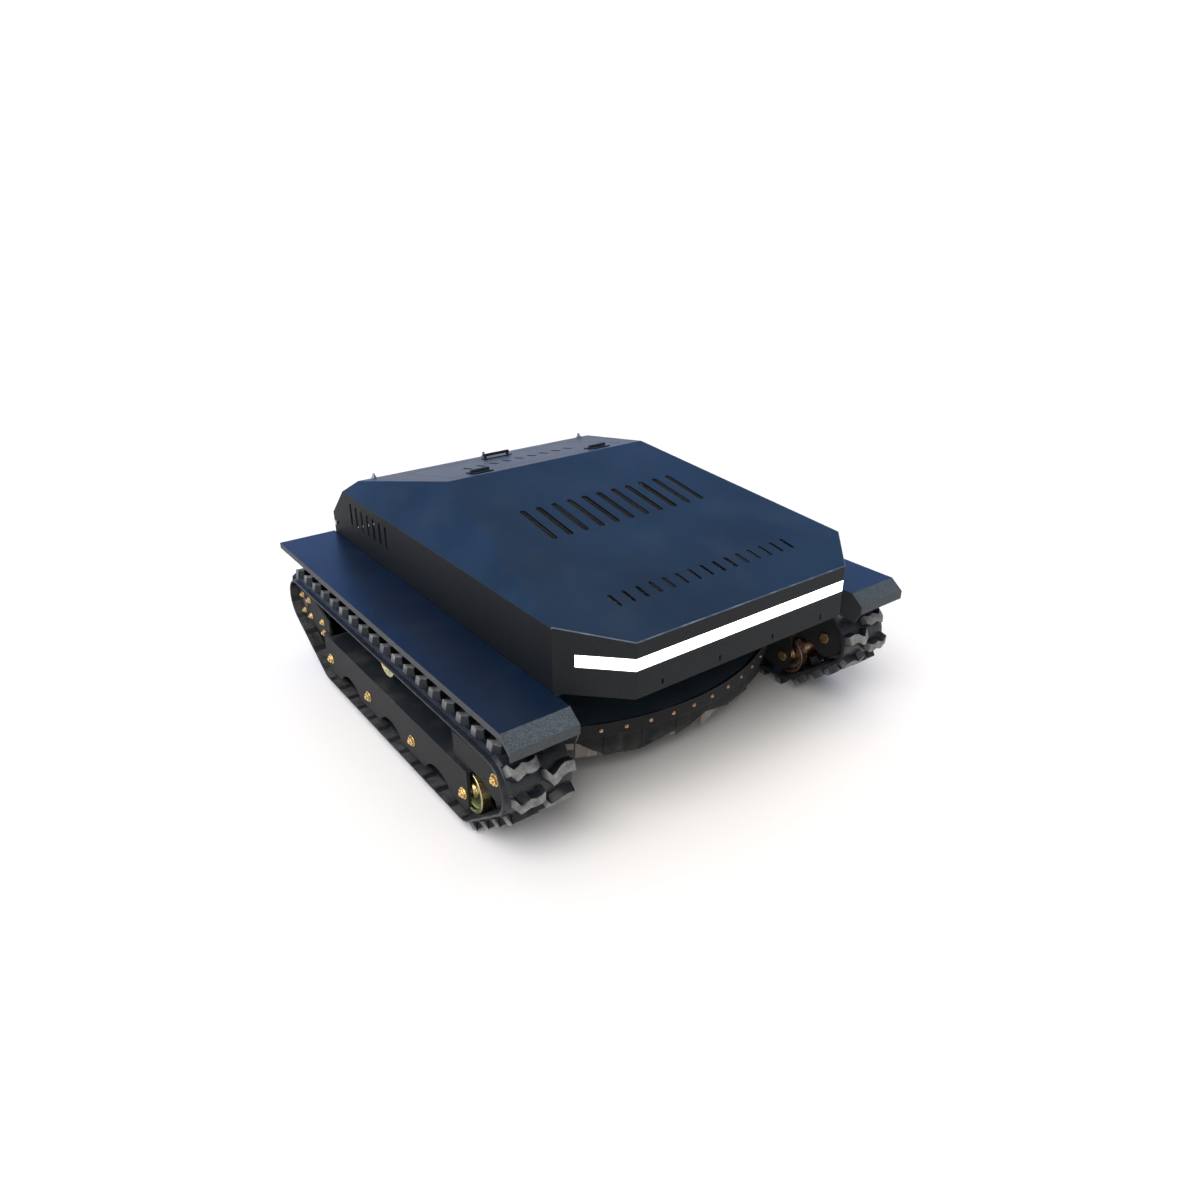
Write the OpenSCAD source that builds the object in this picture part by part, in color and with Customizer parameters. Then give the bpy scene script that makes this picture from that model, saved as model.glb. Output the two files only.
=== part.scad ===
// Remote-controlled tracked chassis: folded steel hood, two rubber tracks and a liftable round-fronted
// cutter deck between them. X runs across, the front faces -Y, Z is up and the ground is at Z = 0.
// All sizes are in millimetres. "left" is the machine's own left hand, on the +X side.

/* [Overall] */
// Width over both fenders
overall_w = 1150; // [1140:1:1160]
// Thickness of the folded steel sheet
sheet = 3; // [2.5:0.1:3.2]

/* [Hood] */
// Height of the ridge, the highest fold
ridge_z = 598; // [592:1:602]
// Distance of the ridge behind the middle
ridge_y = 96; // [90:1:100]
// Half width between the upright side walls
hood_half_w = 417; // [416.5:0.1:417.2]
// Height where the side walls fold in towards the roof
side_fold_z = 489; // [484:1:494]
// Half length of the ridge fold
ridge_half_w = 300; // [290:1:310]
// Height of the front edge of the roof
nose_z = 471; // [466:1:476]
// Half width of the flat front face
nose_half_w = 302; // [290:1:312]
// Height of the hood's open lower edge
hood_bottom_z = 346; // [344:0.5:346.5]

/* [Tracks] */
// Width of one rubber belt
belt_w = 150; // [148:1:150]
// Distance of the belt's centre plane from the middle
belt_x = 491; // [491:0.5:492]
// Number of lugs round one half of the belt
lug_count = 42; // [40:1:44]
// Height of a ground lug
lug_h = 20; // [20:1:20]
// Radius of the belt's inner face round the sprocket and the idler
drive_r = 61; // [61:0.5:62]
// Height of the sprocket and idler axles
axle_z = 192; // [190:1:193]
// Radius of a road wheel's path
wheel_r = 55; // [55:1:55]
// Distance between neighbouring road wheels
wheel_pitch = 240; // [236:1:241]

/* [Deck] */
// Radius of the deck's front and rear arcs
deck_arc_r = 645; // [640:1:650]
// Half width of the deck between the tracks
deck_half_w = 400; // [396:1:402]
// Height of the deck's top plate
deck_top_z = 158; // [156:1:159]
// Number of clamp bolts along the front arc
deck_bolt_count = 11; // [9:2:13]

/* [Vents] */
// Number of long slots in the roof
roof_slot_count = 11; // [9:2:13]
// Length of a long roof slot
roof_slot_length = 142; // [120:2:150]
// Number of short slots above the front edge
nose_slot_count = 15; // [11:2:17]

/* [Hidden] */
$fn = 48;

// Colours
navy = [0.10, 0.14, 0.22];
black_paint = [0.12, 0.12, 0.13];
rubber = [0.10, 0.11, 0.13];
zinc = [0.66, 0.58, 0.36];
brass = [0.80, 0.62, 0.34];
steel = [0.62, 0.63, 0.65];

// Hood outline stations along Y
hood_front_y = -627;
hood_rear_y = 582;
chamfer_y = -510;
shoulder = [460, 521];
tail_z = 407;

// Belt section, with a thin outer edge that stands edge_w past belt_w and beyond the ends of the lugs
belt_t = 12;
edge_w = 8;
edge_t = 6;
lug_inset = 8;
horn_h = 22;
lug_length = 27;
groove_depth = 6;

// Track axle stations along Y, heights follow from the belt
drive = [510, axle_z];
idler = [-500, axle_z];
first_wheel_y = -375;
wheel_z = lug_h + belt_t + wheel_r;
front_wheel = [first_wheel_y, wheel_z];
rear_wheel = [first_wheel_y + 3 * wheel_pitch, wheel_z];
carrier = [20, 215];
carrier_r = 37.5;
belt_gap = 0.5;

// Side frame plates, as X positions on the +X side
outer_plate_x = 552;
inner_plate_x = 424;
plate_t = 8;
arm_outer_x = 546;
arm_inner_x = 432;
arm_t = 6;
channel_top_z = 152;
frame_front_y = first_wheel_y - 20;
frame_rear_y = rear_wheel.x + 33;
axle_r = 10;
carrier_axle_r = 8;
shaft_r = 15;
running_gap = 0.05;

// Chassis ladder
rail_x = 356;
rail_w = 40;
rail_z = 253;
rail_h = 60;
rail_front_y = -400;
rail_rear_y = 572;
cross_y = [-250, 300];
cross_z = 193;
guide_x = 300;
tube_wall = 3;
actuator_y = 232;
pan_z = rail_z + rail_h;

// Deck
deck_arc_y = 177;
deck_middle_y = -70;
deck_wall = 4;
deck_rim_z = 112;
strip_z = [126, 160];
skirt_t = 4;
flap_z = 66;
bolt_step = 5.35;

// Lid in the plane of the rear roof panel
lid_front_y = 146;
lid_half_w = 262;
lid_length = 262;
lid_gap = 1.5;
hinge_x = 184;
hinge_lift = 5;

// ---------- Plane geometry helpers ----------

function polar(c, r, a) = c + r * [cos(a), sin(a)];
function arc_points(c, r, a0, a1, n) = [for (i = [0:n]) polar(c, r, a0 + (a1 - a0) * i / n)];

// A polygon's edge as [outward normal, distance], moved inwards by d; points run counterclockwise
function edge_line(a, b, d) =
    let (n = [b.y - a.y, a.x - b.x] / norm(b - a)) [n, n * a - d];
function crossing(l, m) =
    let (det = l[0].x * m[0].y - l[0].y * m[0].x)
    [(l[1] * m[0].y - m[1] * l[0].y) / det, (l[0].x * m[1] - m[0].x * l[1]) / det];
function inset(pts, d) =
    let (k = len(pts))
    [for (i = [0:k - 1])
        let (h = (i + k - 1) % k)
        crossing(edge_line(pts[h], pts[i], d[h]), edge_line(pts[i], pts[(i + 1) % k], d[i]))];

// Outline of a slot with round ends, long side along the second axis
function slot_outline(length, width) =
    let (h = (length - width) / 2)
    concat(arc_points([0, h], width / 2, 0, 180, 6), arc_points([0, -h], width / 2, 180, 360, 6));

module along_x(x0, x1) {
    translate([x0, 0, 0]) rotate([90, 0, 90]) linear_extrude(x1 - x0) children();
}
module along_y(y0, y1) {
    translate([0, y1, 0]) rotate([90, 0, 0]) linear_extrude(y1 - y0) children();
}
module block(x, y, z) {
    translate([x[0], y[0], z[0]]) cube([x[1] - x[0], y[1] - y[0], z[1] - z[0]]);
}
module both_sides() {
    children();
    mirror([1, 0, 0]) children();
}
// A round bar along X through the point p = [y, z]
module bar_x(p, r, x0, x1, facets = 48) {
    translate([x0, p.x, p.y]) rotate([0, 90, 0]) cylinder(r = r, h = x1 - x0, $fn = facets);
}
// Turns a [radius, height] outline about the X axis through the point p, centred on x
module turned_x(p, x) {
    translate([x, p.x, p.y]) rotate([0, 90, 0]) rotate_extrude($fn = 96) children();
}

// ---------- Hood ----------

side_profile = [[hood_front_y, hood_bottom_z], [hood_rear_y, hood_bottom_z], [hood_rear_y, tail_z],
    shoulder, [ridge_y, ridge_z], [hood_front_y, nose_z]];
front_profile = [[hood_half_w, hood_bottom_z], [hood_half_w, side_fold_z], [ridge_half_w, ridge_z],
    [-ridge_half_w, ridge_z], [-hood_half_w, side_fold_z], [-hood_half_w, hood_bottom_z]];
plan_profile = [[hood_half_w, hood_rear_y], [-hood_half_w, hood_rear_y], [-hood_half_w, chamfer_y],
    [-nose_half_w, hood_front_y], [nose_half_w, hood_front_y], [hood_half_w, chamfer_y]];

roof_slope = atan((ridge_z - nose_z) / (ridge_y - hood_front_y));
rear_slope = atan((ridge_z - shoulder.y) / (shoulder.x - ridge_y));
tail_slope = atan((shoulder.y - tail_z) / (hood_rear_y - shoulder.x));
function roof_z(y) = nose_z + (y - hood_front_y) * tan(roof_slope);
function rear_z(y) = ridge_z - (y - ridge_y) * tan(rear_slope);
function tail_panel_z(y) = shoulder.y - (y - shoulder.x) * tan(tail_slope);

module on_roof(y) { translate([0, y, roof_z(y)]) rotate([roof_slope, 0, 0]) children(); }
module on_rear(y) { translate([0, y, rear_z(y)]) rotate([-rear_slope, 0, 0]) children(); }
module on_tail(y) { translate([0, y, tail_panel_z(y)]) rotate([-tail_slope, 0, 0]) children(); }

// The hood's outer form moved inwards by t; a positive t also opens it downwards
module hood_form(t) {
    open = t > 0 ? -5 : 0;
    intersection() {
        along_x(-hood_half_w - 5, hood_half_w + 5) polygon(inset(side_profile, [open, t, t, t, t, t]));
        along_y(hood_front_y - 5, hood_rear_y + 5) polygon(inset(front_profile, [t, t, t, t, t, open]));
        translate([0, 0, hood_bottom_z - 10]) linear_extrude(ridge_z)
            polygon(inset(plan_profile, [t, t, t, t, t, t]));
    }
}

// Band that follows the front face and both front corners, between two depths behind the surface
light_z = [408, 435];
light_start = 0.27;
function band_corner(i, d) = inset(plan_profile, [d, d, d, d, d, d])[i];
function band_end(i, j, d, start) =
    let (a = plan_profile[i], b = plan_profile[j], side = j > i ? 1 : -1,
        n = side * [b.y - a.y, a.x - b.x] / norm(b - a))
    a + (b - a) * start - n * d;
module front_band(d0, d1, z0, z1, start = light_start) {
    translate([0, 0, z0]) linear_extrude(z1 - z0)
        polygon([band_end(2, 3, d0, start), band_corner(3, d0), band_corner(4, d0),
            band_end(5, 4, d0, start), band_end(5, 4, d1, start), band_corner(4, d1),
            band_corner(3, d1), band_end(2, 3, d1, start)]);
}

roof_slots_y = -172;
nose_slots_y = -494;
side_slots_y = 230;
side_slots_z = 436;
side_slot_pitch = 36;
side_slot_count = 7;
lid_slots_y = 256;
drain_x = [-234, -78, 78, 234];
drain_z = 363;

module slot_row(count, pitch, length, width, depth) {
    for (i = [0:count - 1])
        translate([(i - (count - 1) / 2) * pitch, 0, -depth])
            linear_extrude(2 * depth) polygon(slot_outline(length, width));
}
module hood_cutouts() {
    translate([0, roof_slots_y, roof_z(roof_slots_y)])
        slot_row(roof_slot_count, 44, roof_slot_length, 16, 15);
    translate([0, nose_slots_y, roof_z(nose_slots_y)]) slot_row(nose_slot_count, 36, 44, 9, 12);
    both_sides() along_x(hood_half_w - 10, hood_half_w + 10)
        for (i = [0:side_slot_count - 1])
            translate([side_slots_y + i * side_slot_pitch, side_slots_z]) polygon(slot_outline(62, 13));
    for (x = drain_x) along_y(hood_front_y - 5, hood_front_y + 10)
        translate([x, drain_z]) polygon(slot_outline(14, 5));
    front_band(-5, 10, light_z[0] - belt_gap, light_z[1] + belt_gap);
    on_rear(lid_front_y)
        block([-lid_half_w - lid_gap, lid_half_w + lid_gap], [-lid_gap, lid_length + lid_gap], [-12, 8]);
    on_tail(estop_y) translate([0, 0, -10]) cylinder(r = 11.2, h = 20);
}

lip_x = [-lid_half_w - 12, lid_half_w + 12];
lip_y = [-12, lid_length + 12];
module hood_shell() {
    color(navy) difference() {
        union() {
            difference() {
                hood_form(0);
                hood_form(sheet);
                hood_cutouts();
            }
            // Folded lip that carries the lid's seal
            on_rear(lid_front_y) difference() {
                block(lip_x, lip_y, [-sheet - 5, -sheet - 2]);
                block([-lid_half_w + 12, lid_half_w - 12], [12, lid_length - 12], [-sheet - 8, 0]);
            }
            on_rear(lid_front_y) difference() {
                block(lip_x, lip_y, [-sheet - 3, -sheet + 0.5]);
                block([-lid_half_w - lid_gap, lid_half_w + lid_gap], [-lid_gap, lid_length + lid_gap],
                    [-sheet - 8, 3]);
            }
        }
    }
}
module light_strip() {
    color("white") front_band(0.5, 7.5, light_z[0], light_z[1]);
}
module light_housing() {
    color(black_paint) difference() {
        front_band(sheet, 16, light_z[0] - 8, light_z[1] + 8, light_start - 0.05);
        front_band(-2, 7.5, light_z[0] - belt_gap, light_z[1] + belt_gap);
    }
}
module vent_screens() {
    color([0.2, 0.2, 0.22]) {
        on_roof(roof_slots_y) block([-250, 250], [-90, 90], [-sheet - 2, -sheet]);
        on_roof(nose_slots_y) block([-272, 272], [-34, 34], [-sheet - 2, -sheet]);
        both_sides() block([hood_half_w - sheet - 2, hood_half_w - sheet],
            [side_slots_y - 18, side_slots_y + (side_slot_count - 1) * side_slot_pitch + 18], [398, 474]);
    }
}
module hood_screw() {
    cylinder(r = 9, h = 2);
    translate([0, 0, 2]) cylinder(r = 7, h = 4, $fn = 6);
    translate([0, 0, 6]) cylinder(r = 4, h = 7);
}
module hood_screws() {
    color(steel) {
        for (x = [-340, 0, 340]) on_rear(448) translate([x, 0, 0]) hood_screw();
        both_sides() bar_x([562, 381], 8, hood_half_w, hood_half_w + 5, 6);
    }
}

// ---------- Lid ----------

module lid_seal() {
    color(rubber) on_rear(lid_front_y) difference() {
        block([-lid_half_w, lid_half_w], [0, lid_length], [-sheet - 2, -sheet]);
        block([-lid_half_w + 9, lid_half_w - 9], [9, lid_length - 9], [-sheet - 5, 3]);
    }
}
module access_lid() {
    color(navy) on_rear(lid_front_y) difference() {
        union() {
            block([-lid_half_w, lid_half_w], [0, lid_length], [-sheet, 0]);
            // Stiffening folds under the lid
            for (y = [16, lid_length - 20])
                block([-lid_half_w + 20, lid_half_w - 20], [y, y + 4], [-18, -sheet]);
        }
        translate([0, lid_slots_y - lid_front_y, 0]) slot_row(9, 40, 50, 10, 8);
    }
}
module hinge_positions() {
    for (x = [-hinge_x, hinge_x]) on_rear(lid_front_y) translate([x, -lid_gap / 2, 0]) children();
}
// Fixed leaf with its two outer knuckles and the pin
module lid_hinge_base() {
    color(black_paint) hinge_positions() {
        difference() {
            union() {
                block([-26, 26], [-24, -5.2], [0, 2.5]);
                for (x = [-26, 12.3]) {
                    translate([x, 0, hinge_lift]) rotate([0, 90, 0]) cylinder(r = 4.5, h = 13.7);
                    block([x, x + 13.7], [-5.4, 0], [0, 2.5]);
                    block([x, x + 13.7], [-4.4, 0], [0, hinge_lift]);
                }
            }
            translate([-40, 0, hinge_lift]) rotate([0, 90, 0]) cylinder(r = 2.5, h = 80);
        }
        translate([-27, 0, hinge_lift]) rotate([0, 90, 0]) cylinder(r = 2.5, h = 54);
    }
}
// Moving leaf with the middle knuckle
module lid_hinge_leaf() {
    color(black_paint) hinge_positions() difference() {
        union() {
            block([-26, 26], [5.2, 26], [0, 2.5]);
            block([-11.8, 11.8], [0.5, 6], [0, 2.5]);
            block([-11.8, 11.8], [0, 4.4], [0.4, hinge_lift]);
            translate([-11.8, 0, hinge_lift]) rotate([0, 90, 0]) cylinder(r = 4.5, h = 23.6);
        }
        translate([-40, 0, hinge_lift]) rotate([0, 90, 0]) cylinder(r = 2.55, h = 80);
    }
}
module lid_handle() {
    color(black_paint) on_rear(lid_front_y) translate([0, lid_length - 28, 0]) {
        block([-44, 44], [-12, 12], [0, 2]);
        for (x = [-36, 36]) translate([x, 0, 0]) cylinder(r = 4, h = 11);
        translate([-40, 0, 11]) rotate([0, 90, 0]) cylinder(r = 4, h = 80);
    }
}

// ---------- Fenders ----------

fender_top_z = 348;
fender_inner_x = 418;
module left_fender() {
    outer = overall_w / 2;
    top = [[-571, fender_top_z], [-604, 323], [-604, 302], [-604 + sheet, 302], [-604 + sheet, 323 - 1.6],
        [-571 + 1, fender_top_z - sheet], [589, fender_top_z - sheet], [589, fender_top_z]];
    flange = [[589, fender_top_z - 1], [-571, fender_top_z - 1], [-602, 322], [-602, 302], [-590, 276],
        [-560, 276], [-528, 292], [589, 292]];
    lip = [[589, fender_top_z - 1], [-571, fender_top_z - 1], [-602, 323], [-602, 312], [-575, 332],
        [589, 332]];
    color(navy) {
        along_x(fender_inner_x, outer) polygon(top);
        along_x(fender_inner_x, fender_inner_x + sheet) polygon(flange);
        along_x(outer - sheet, outer) polygon(lip);
    }
}
module right_fender() { mirror([1, 0, 0]) left_fender(); }

// ---------- Chassis ----------

module square_tube_y(x, y, z) {
    difference() {
        block(x, y, z);
        block([x[0] + tube_wall, x[1] - tube_wall], [y[0] - 1, y[1] + 1],
            [z[0] + tube_wall, z[1] - tube_wall]);
    }
}
module square_tube_x(x, y, z) {
    difference() {
        block(x, y, z);
        block([x[0] - 1, x[1] + 1], [y[0] + tube_wall, y[1] - tube_wall],
            [z[0] + tube_wall, z[1] - tube_wall]);
    }
}
module chassis_frame() {
    color(black_paint) difference() {
        union() {
            both_sides() {
                square_tube_y([rail_x, rail_x + rail_w], [rail_front_y, rail_rear_y], [rail_z, pan_z]);
                // Stubs to the side frames
                for (y = cross_y) block([408, inner_plate_x], [y - 28, y + 28], [196, 236]);
                // Tabs for the fenders and ears for the hood
                for (y = [-380, 20, 420]) {
                    block([rail_x + rail_w, fender_inner_x], [y - 20, y + 20], [296, 300]);
                    block([fender_inner_x - 4, fender_inner_x], [y - 20, y + 20], [296, 340]);
                    block([rail_x + rail_w, rail_x + rail_w + 4], [y - 20, y + 20], [296, 372]);
                    block([rail_x + rail_w, hood_half_w - sheet], [y - 20, y + 20], [368, 372]);
                }
            }
            for (y = cross_y) square_tube_x([-412, 412], [y - 30, y + 30], [cross_z, rail_z]);
            for (y = [rail_front_y, 470]) square_tube_x([-rail_x, rail_x], [y, y + 40], [rail_z, pan_z]);
            for (y = cross_y, x = [-guide_x, guide_x]) translate([x, y, cross_z]) cylinder(r = 18, h = 60);
            // Hanger of the lift actuator
            block([-40, 40], [cross_y[1] - 50, cross_y[1] - 30], [210, 250]);
        }
        for (y = cross_y, x = [-guide_x, guide_x])
            translate([x, y, cross_z - 5]) cylinder(r = 10 + running_gap, h = 75);
        translate([0, actuator_y, cross_z]) cylinder(r = 22 + running_gap, h = 80);
    }
}
module floor_pan() {
    color(black_paint) translate([0, 0, pan_z]) linear_extrude(sheet)
        polygon(inset(plan_profile, [12, 24, 60, 80, 60, 24]));
}
module rear_panel() {
    color(black_paint) difference() {
        block([-400, 400], [rail_rear_y, rail_rear_y + 4], [192, 342]);
        for (x = [-150, 150], z = [222, 302])
            translate([x, rail_rear_y + 10, z]) rotate([90, 0, 0]) cylinder(r = 4.25, h = 20);
        translate([250, rail_rear_y + 10, 262]) rotate([90, 0, 0]) cylinder(r = 17, h = 20);
    }
}
module tow_hitch() {
    plate_y = rail_rear_y + 4;
    tongue_y = 597;
    color(black_paint) difference() {
        union() {
            block([-70, 70], [plate_y, plate_y + 8], [212, 304]);
            block([-30, 30], [plate_y + 8, tongue_y], [252, 264]);
            intersection() {
                translate([0, tongue_y, 252]) cylinder(r = 30, h = 12, $fn = 64);
                block([-30, 30], [plate_y + 8, tongue_y + 30], [252, 264]);
            }
            for (x = [-30, 24]) along_x(x, x + 6)
                polygon([[plate_y + 8, 252], [plate_y + 8, 222], [tongue_y - 6, 252]]);
        }
        translate([0, tongue_y, 240]) cylinder(r = 10, h = 40);
    }
}
module charge_port() {
    color([0.15, 0.15, 0.16]) translate([250, rail_rear_y + 4, 262]) rotate([-90, 0, 0]) {
        translate([0, 0, -24]) cylinder(r = 16.5, h = 24);
        cylinder(r = 26, h = 4);
        translate([0, 0, 4]) cylinder(r = 19, h = 14);
    }
}
module battery_packs() {
    color([0.30, 0.32, 0.35]) both_sides() {
        block([40, 290], [-430, -90], [pan_z + sheet, 436]);
        block([50, 280], [-420, -100], [436, 446]);
        for (y = [-390, -130]) translate([80, y, 446]) cylinder(r = 9, h = 12);
    }
}
module controller_box() {
    color([0.45, 0.46, 0.48]) {
        block([-150, 150], [130, 350], [pan_z + sheet, 400]);
        for (i = [0:10]) block([-140 + i * 27, -134 + i * 27], [140, 340], [400, 416]);
    }
}
module lift_actuator() {
    color(steel) difference() {
        translate([0, actuator_y, 196]) {
            cylinder(r = 18, h = 108);
            translate([0, 0, 20]) cylinder(r = 22, h = 26);
        }
        translate([0, actuator_y, 150]) cylinder(r = 12 + running_gap, h = 148);
    }
}

// ---------- Emergency stop on the tail panel ----------

estop_y = 520;
estop_r = 11;
module estop_base() {
    color([0.85, 0.70, 0.10]) on_tail(estop_y) difference() {
        union() {
            translate([0, 0, -34]) cylinder(r = estop_r, h = 36);
            cylinder(r = 30, h = 6);
            translate([0, 0, 6]) cylinder(r = 19, h = 6);
        }
        translate([0, 0, -28]) cylinder(r = 7 + running_gap, h = 60);
    }
}
module estop_button() {
    color([0.75, 0.08, 0.06]) on_tail(estop_y) {
        translate([0, 0, -20]) cylinder(r = 7, h = 38);
        translate([0, 0, 17]) cylinder(r = 20, h = 9);
        translate([0, 0, 26]) cylinder(r = 16, h = 4);
    }
}

// ---------- Deck ----------

// Plan of the deck: front and rear arcs between straight sides, moved outwards by g
function deck_plan(g) =
    let (r = deck_arc_r + g, w = deck_half_w + min(g, 2), a = asin(w / r),
        rear_arc_y = 2 * deck_middle_y - deck_arc_y)
    concat(arc_points([0, deck_arc_y], r, 270 - a, 270 + a, 40),
        arc_points([0, rear_arc_y], r, 90 - a, 90 + a, 40));

module deck_shell() {
    color(black_paint) difference() {
        union() {
            translate([0, 0, deck_rim_z]) linear_extrude(deck_top_z - deck_rim_z) polygon(deck_plan(0));
            translate([0, deck_middle_y, deck_top_z]) cylinder(r = 130, h = 6);
        }
        translate([0, 0, deck_rim_z - 1]) linear_extrude(deck_top_z - deck_wall - deck_rim_z + 1)
            polygon(deck_plan(-deck_wall));
        translate([0, deck_middle_y, 100]) cylinder(r = 25, h = 100);
    }
}
// Ring sector that follows the front arc, or with rear = 1 the rear arc
module arc_band(r0, r1, half_angle, z0, z1, rear = 0) {
    c = [0, rear == 1 ? 2 * deck_middle_y - deck_arc_y : deck_arc_y];
    m = rear == 1 ? 90 : 270;
    translate([0, 0, z0]) linear_extrude(z1 - z0)
        polygon(concat(arc_points(c, r0, m - half_angle, m + half_angle, 36),
            arc_points(c, r1, m + half_angle, m - half_angle, 36)));
}
skirt_angle = 37.5;
module deck_clamp_strip() {
    r = deck_arc_r + skirt_t + 0.6;
    color(black_paint) for (rear = [0, 1])
        arc_band(r, r + 4, skirt_angle, strip_z[0], strip_z[1], rear);
}
// Flaps side by side, each hanging between the shell and the clamp strip
flap_count = 9;
module deck_skirt() {
    span = 2 * skirt_angle / flap_count;
    color(rubber) for (rear = [0, 1], i = [0:flap_count - 1]) {
        mid = -skirt_angle + (i + 0.5) * span;
        c = [0, rear == 1 ? 2 * deck_middle_y - deck_arc_y : deck_arc_y];
        a = (rear == 1 ? 90 : 270) + mid;
        h = span / 2 - 0.12;
        translate([0, 0, flap_z + 6 * (i % 2)]) linear_extrude(156 - flap_z - 6 * (i % 2))
            polygon(concat(arc_points(c, deck_arc_r + 0.3, a - h, a + h, 5),
                arc_points(c, deck_arc_r + 0.3 + skirt_t, a + h, a - h, 5)));
    }
}
module deck_bolts() {
    color(brass) for (rear = [0, 1], i = [0:deck_bolt_count - 1]) {
        a = (rear == 1 ? 90 : 270) + (i - (deck_bolt_count - 1) / 2) * bolt_step;
        c = [0, rear == 1 ? 2 * deck_middle_y - deck_arc_y : deck_arc_y];
        p = polar(c, deck_arc_r + skirt_t + 4.6, a);
        translate([p.x, p.y, 143]) rotate([0, 90, a]) cylinder(r = 7, h = 5, $fn = 6);
    }
}
module deck_lift_rods() {
    color(steel) {
        for (y = cross_y, x = [-guide_x, guide_x]) translate([x, y, deck_top_z]) {
            cylinder(r = 10, h = 116);
            cylinder(r = 22, h = 4);
        }
        translate([0, actuator_y, deck_top_z]) {
            cylinder(r = 12, h = 104);
            cylinder(r = 24, h = 5);
        }
    }
}
module blade_motor() {
    color([0.25, 0.26, 0.28]) translate([0, deck_middle_y, deck_top_z + 6]) difference() {
        union() {
            cylinder(r = 95, h = 12);
            translate([0, 0, 12]) cylinder(r = 82, h = 62);
            translate([0, 0, 74]) cylinder(r = 60, h = 18);
            for (i = [0:11]) rotate([0, 0, 30 * i]) block([78, 90], [-3, 3], [12, 70]);
        }
        translate([0, 0, -1]) cylinder(r = 14 + running_gap, h = 31);
    }
}
module blade_spindle() {
    color(steel) translate([0, deck_middle_y, 92]) {
        cylinder(r = 14, h = 96);
        translate([0, 0, 24]) cylinder(r = 40, h = 8);
        translate([0, 0, 8]) cylinder(r = 20, h = 8, $fn = 6);
    }
}
module cutter_blade() {
    color([0.45, 0.44, 0.42]) translate([0, deck_middle_y, 108]) difference() {
        linear_extrude(8) difference() {
            polygon([[-372, -28], [-340, -38], [-180, -38], [-120, -30], [340, -30], [372, -18], [372, 28],
                [340, 38], [180, 38], [120, 30], [-340, 30], [-372, 18]]);
            circle(r = 14 + running_gap);
        }
    }
}

// ---------- Track geometry ----------

front_span = front_wheel - idler;
rear_span = drive - rear_wheel;
front_angle = 360 + atan2(front_span.y, front_span.x) - acos((drive_r - wheel_r) / norm(front_span));
rear_angle = atan2(rear_span.y, rear_span.x) - acos((wheel_r - drive_r) / norm(rear_span));

// Closed run of the belt at a height g above its inner face
function loop(g) = concat(
    arc_points(rear_wheel, wheel_r + g, -90, rear_angle, 6),
    arc_points(drive, drive_r + g, rear_angle, 90, 30),
    arc_points(idler, drive_r + g, 90, front_angle, 30),
    arc_points(front_wheel, wheel_r + g, front_angle, 270, 8));

// Lengths of the eight stretches of the run, measured on the belt's outer face
function arc_length(r, a) = (r + belt_t) * a * PI / 180;
taper = drive_r - wheel_r;
run = [arc_length(wheel_r, rear_angle + 90), sqrt(rear_span * rear_span - taper * taper),
    arc_length(drive_r, 90 - rear_angle), drive.x - idler.x,
    arc_length(drive_r, front_angle - 90), sqrt(front_span * front_span - taper * taper),
    arc_length(wheel_r, 270 - front_angle), rear_wheel.x - front_wheel.x];
function total(v, k) = k < 0 ? 0 : v[k] + total(v, k - 1);
run_length = total(run, 7);
lug_pitch = run_length / lug_count;

function along(c, r, a, dir, s, g) = polar(c, r + g, a) + s * [cos(a + dir), sin(a + dir)];
function round_bit(c, r, a, s, g) = polar(c, r + g, a + s / (r + belt_t) * 180 / PI);
// Point at distance s along the run and height g above the belt's inner face
function station(s0, g) =
    let (s = s0 < 0 ? s0 + run_length : (s0 >= run_length ? s0 - run_length : s0),
        t = [for (k = [0:7]) total(run, k)])
    s < t[0] ? round_bit(rear_wheel, wheel_r, -90, s, g)
    : s < t[1] ? along(rear_wheel, wheel_r, rear_angle, 90, s - t[0], g)
    : s < t[2] ? round_bit(drive, drive_r, rear_angle, s - t[1], g)
    : s < t[3] ? along(drive, drive_r, 90, 90, s - t[2], g)
    : s < t[4] ? round_bit(idler, drive_r, 90, s - t[3], g)
    : s < t[5] ? along(idler, drive_r, front_angle, 90, s - t[4], g)
    : s < t[6] ? round_bit(front_wheel, wheel_r, front_angle, s - t[5], g)
    : along(front_wheel, wheel_r, 270, 90, s - t[6], g);

// Teeth of height h on the run, one at every pitch and rooted 1 mm deep; a negative h points inwards
module teeth(base, h, width, phase) {
    root = base - sign(h);
    for (k = [0:lug_count - 1]) {
        s = k * lug_pitch + phase;
        polygon([station(s, root), station(s, base), station(s + 3, base + h),
            station(s + width / 2, base + h), station(s + width - 3, base + h),
            station(s + width, base), station(s + width, root)]);
    }
}
module track_belt() {
    half = belt_w / 2;
    color(rubber) difference() {
        union() {
            along_x(belt_x - half, belt_x + half - lug_inset + 2) polygon(loop(belt_t));
            along_x(belt_x + half - lug_inset, belt_x + half + edge_w) polygon(loop(edge_t));
        }
        along_x(belt_x - half - 1, belt_x + half + edge_w + 1) polygon(loop(0));
        along_x(belt_x - 15, belt_x + 15) polygon(loop(groove_depth));
    }
}
// Ground lugs outside the belt, in two staggered halves, and guide horns inside it
module belt_lugs() {
    half = belt_w / 2;
    color(rubber) {
        for (outer = [0, 1])
            along_x(belt_x - half + outer * half, belt_x + outer * (half - lug_inset)) difference() {
                teeth(belt_t, lug_h, lug_length, outer * lug_pitch / 2);
                polygon(loop(belt_t));
            }
        for (x = [belt_x - 30, belt_x + 18]) along_x(x, x + 12) intersection() {
            teeth(0, -horn_h, 24, lug_pitch * 0.2);
            polygon(loop(0));
        }
    }
}

// ---------- Side frame ----------

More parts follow.
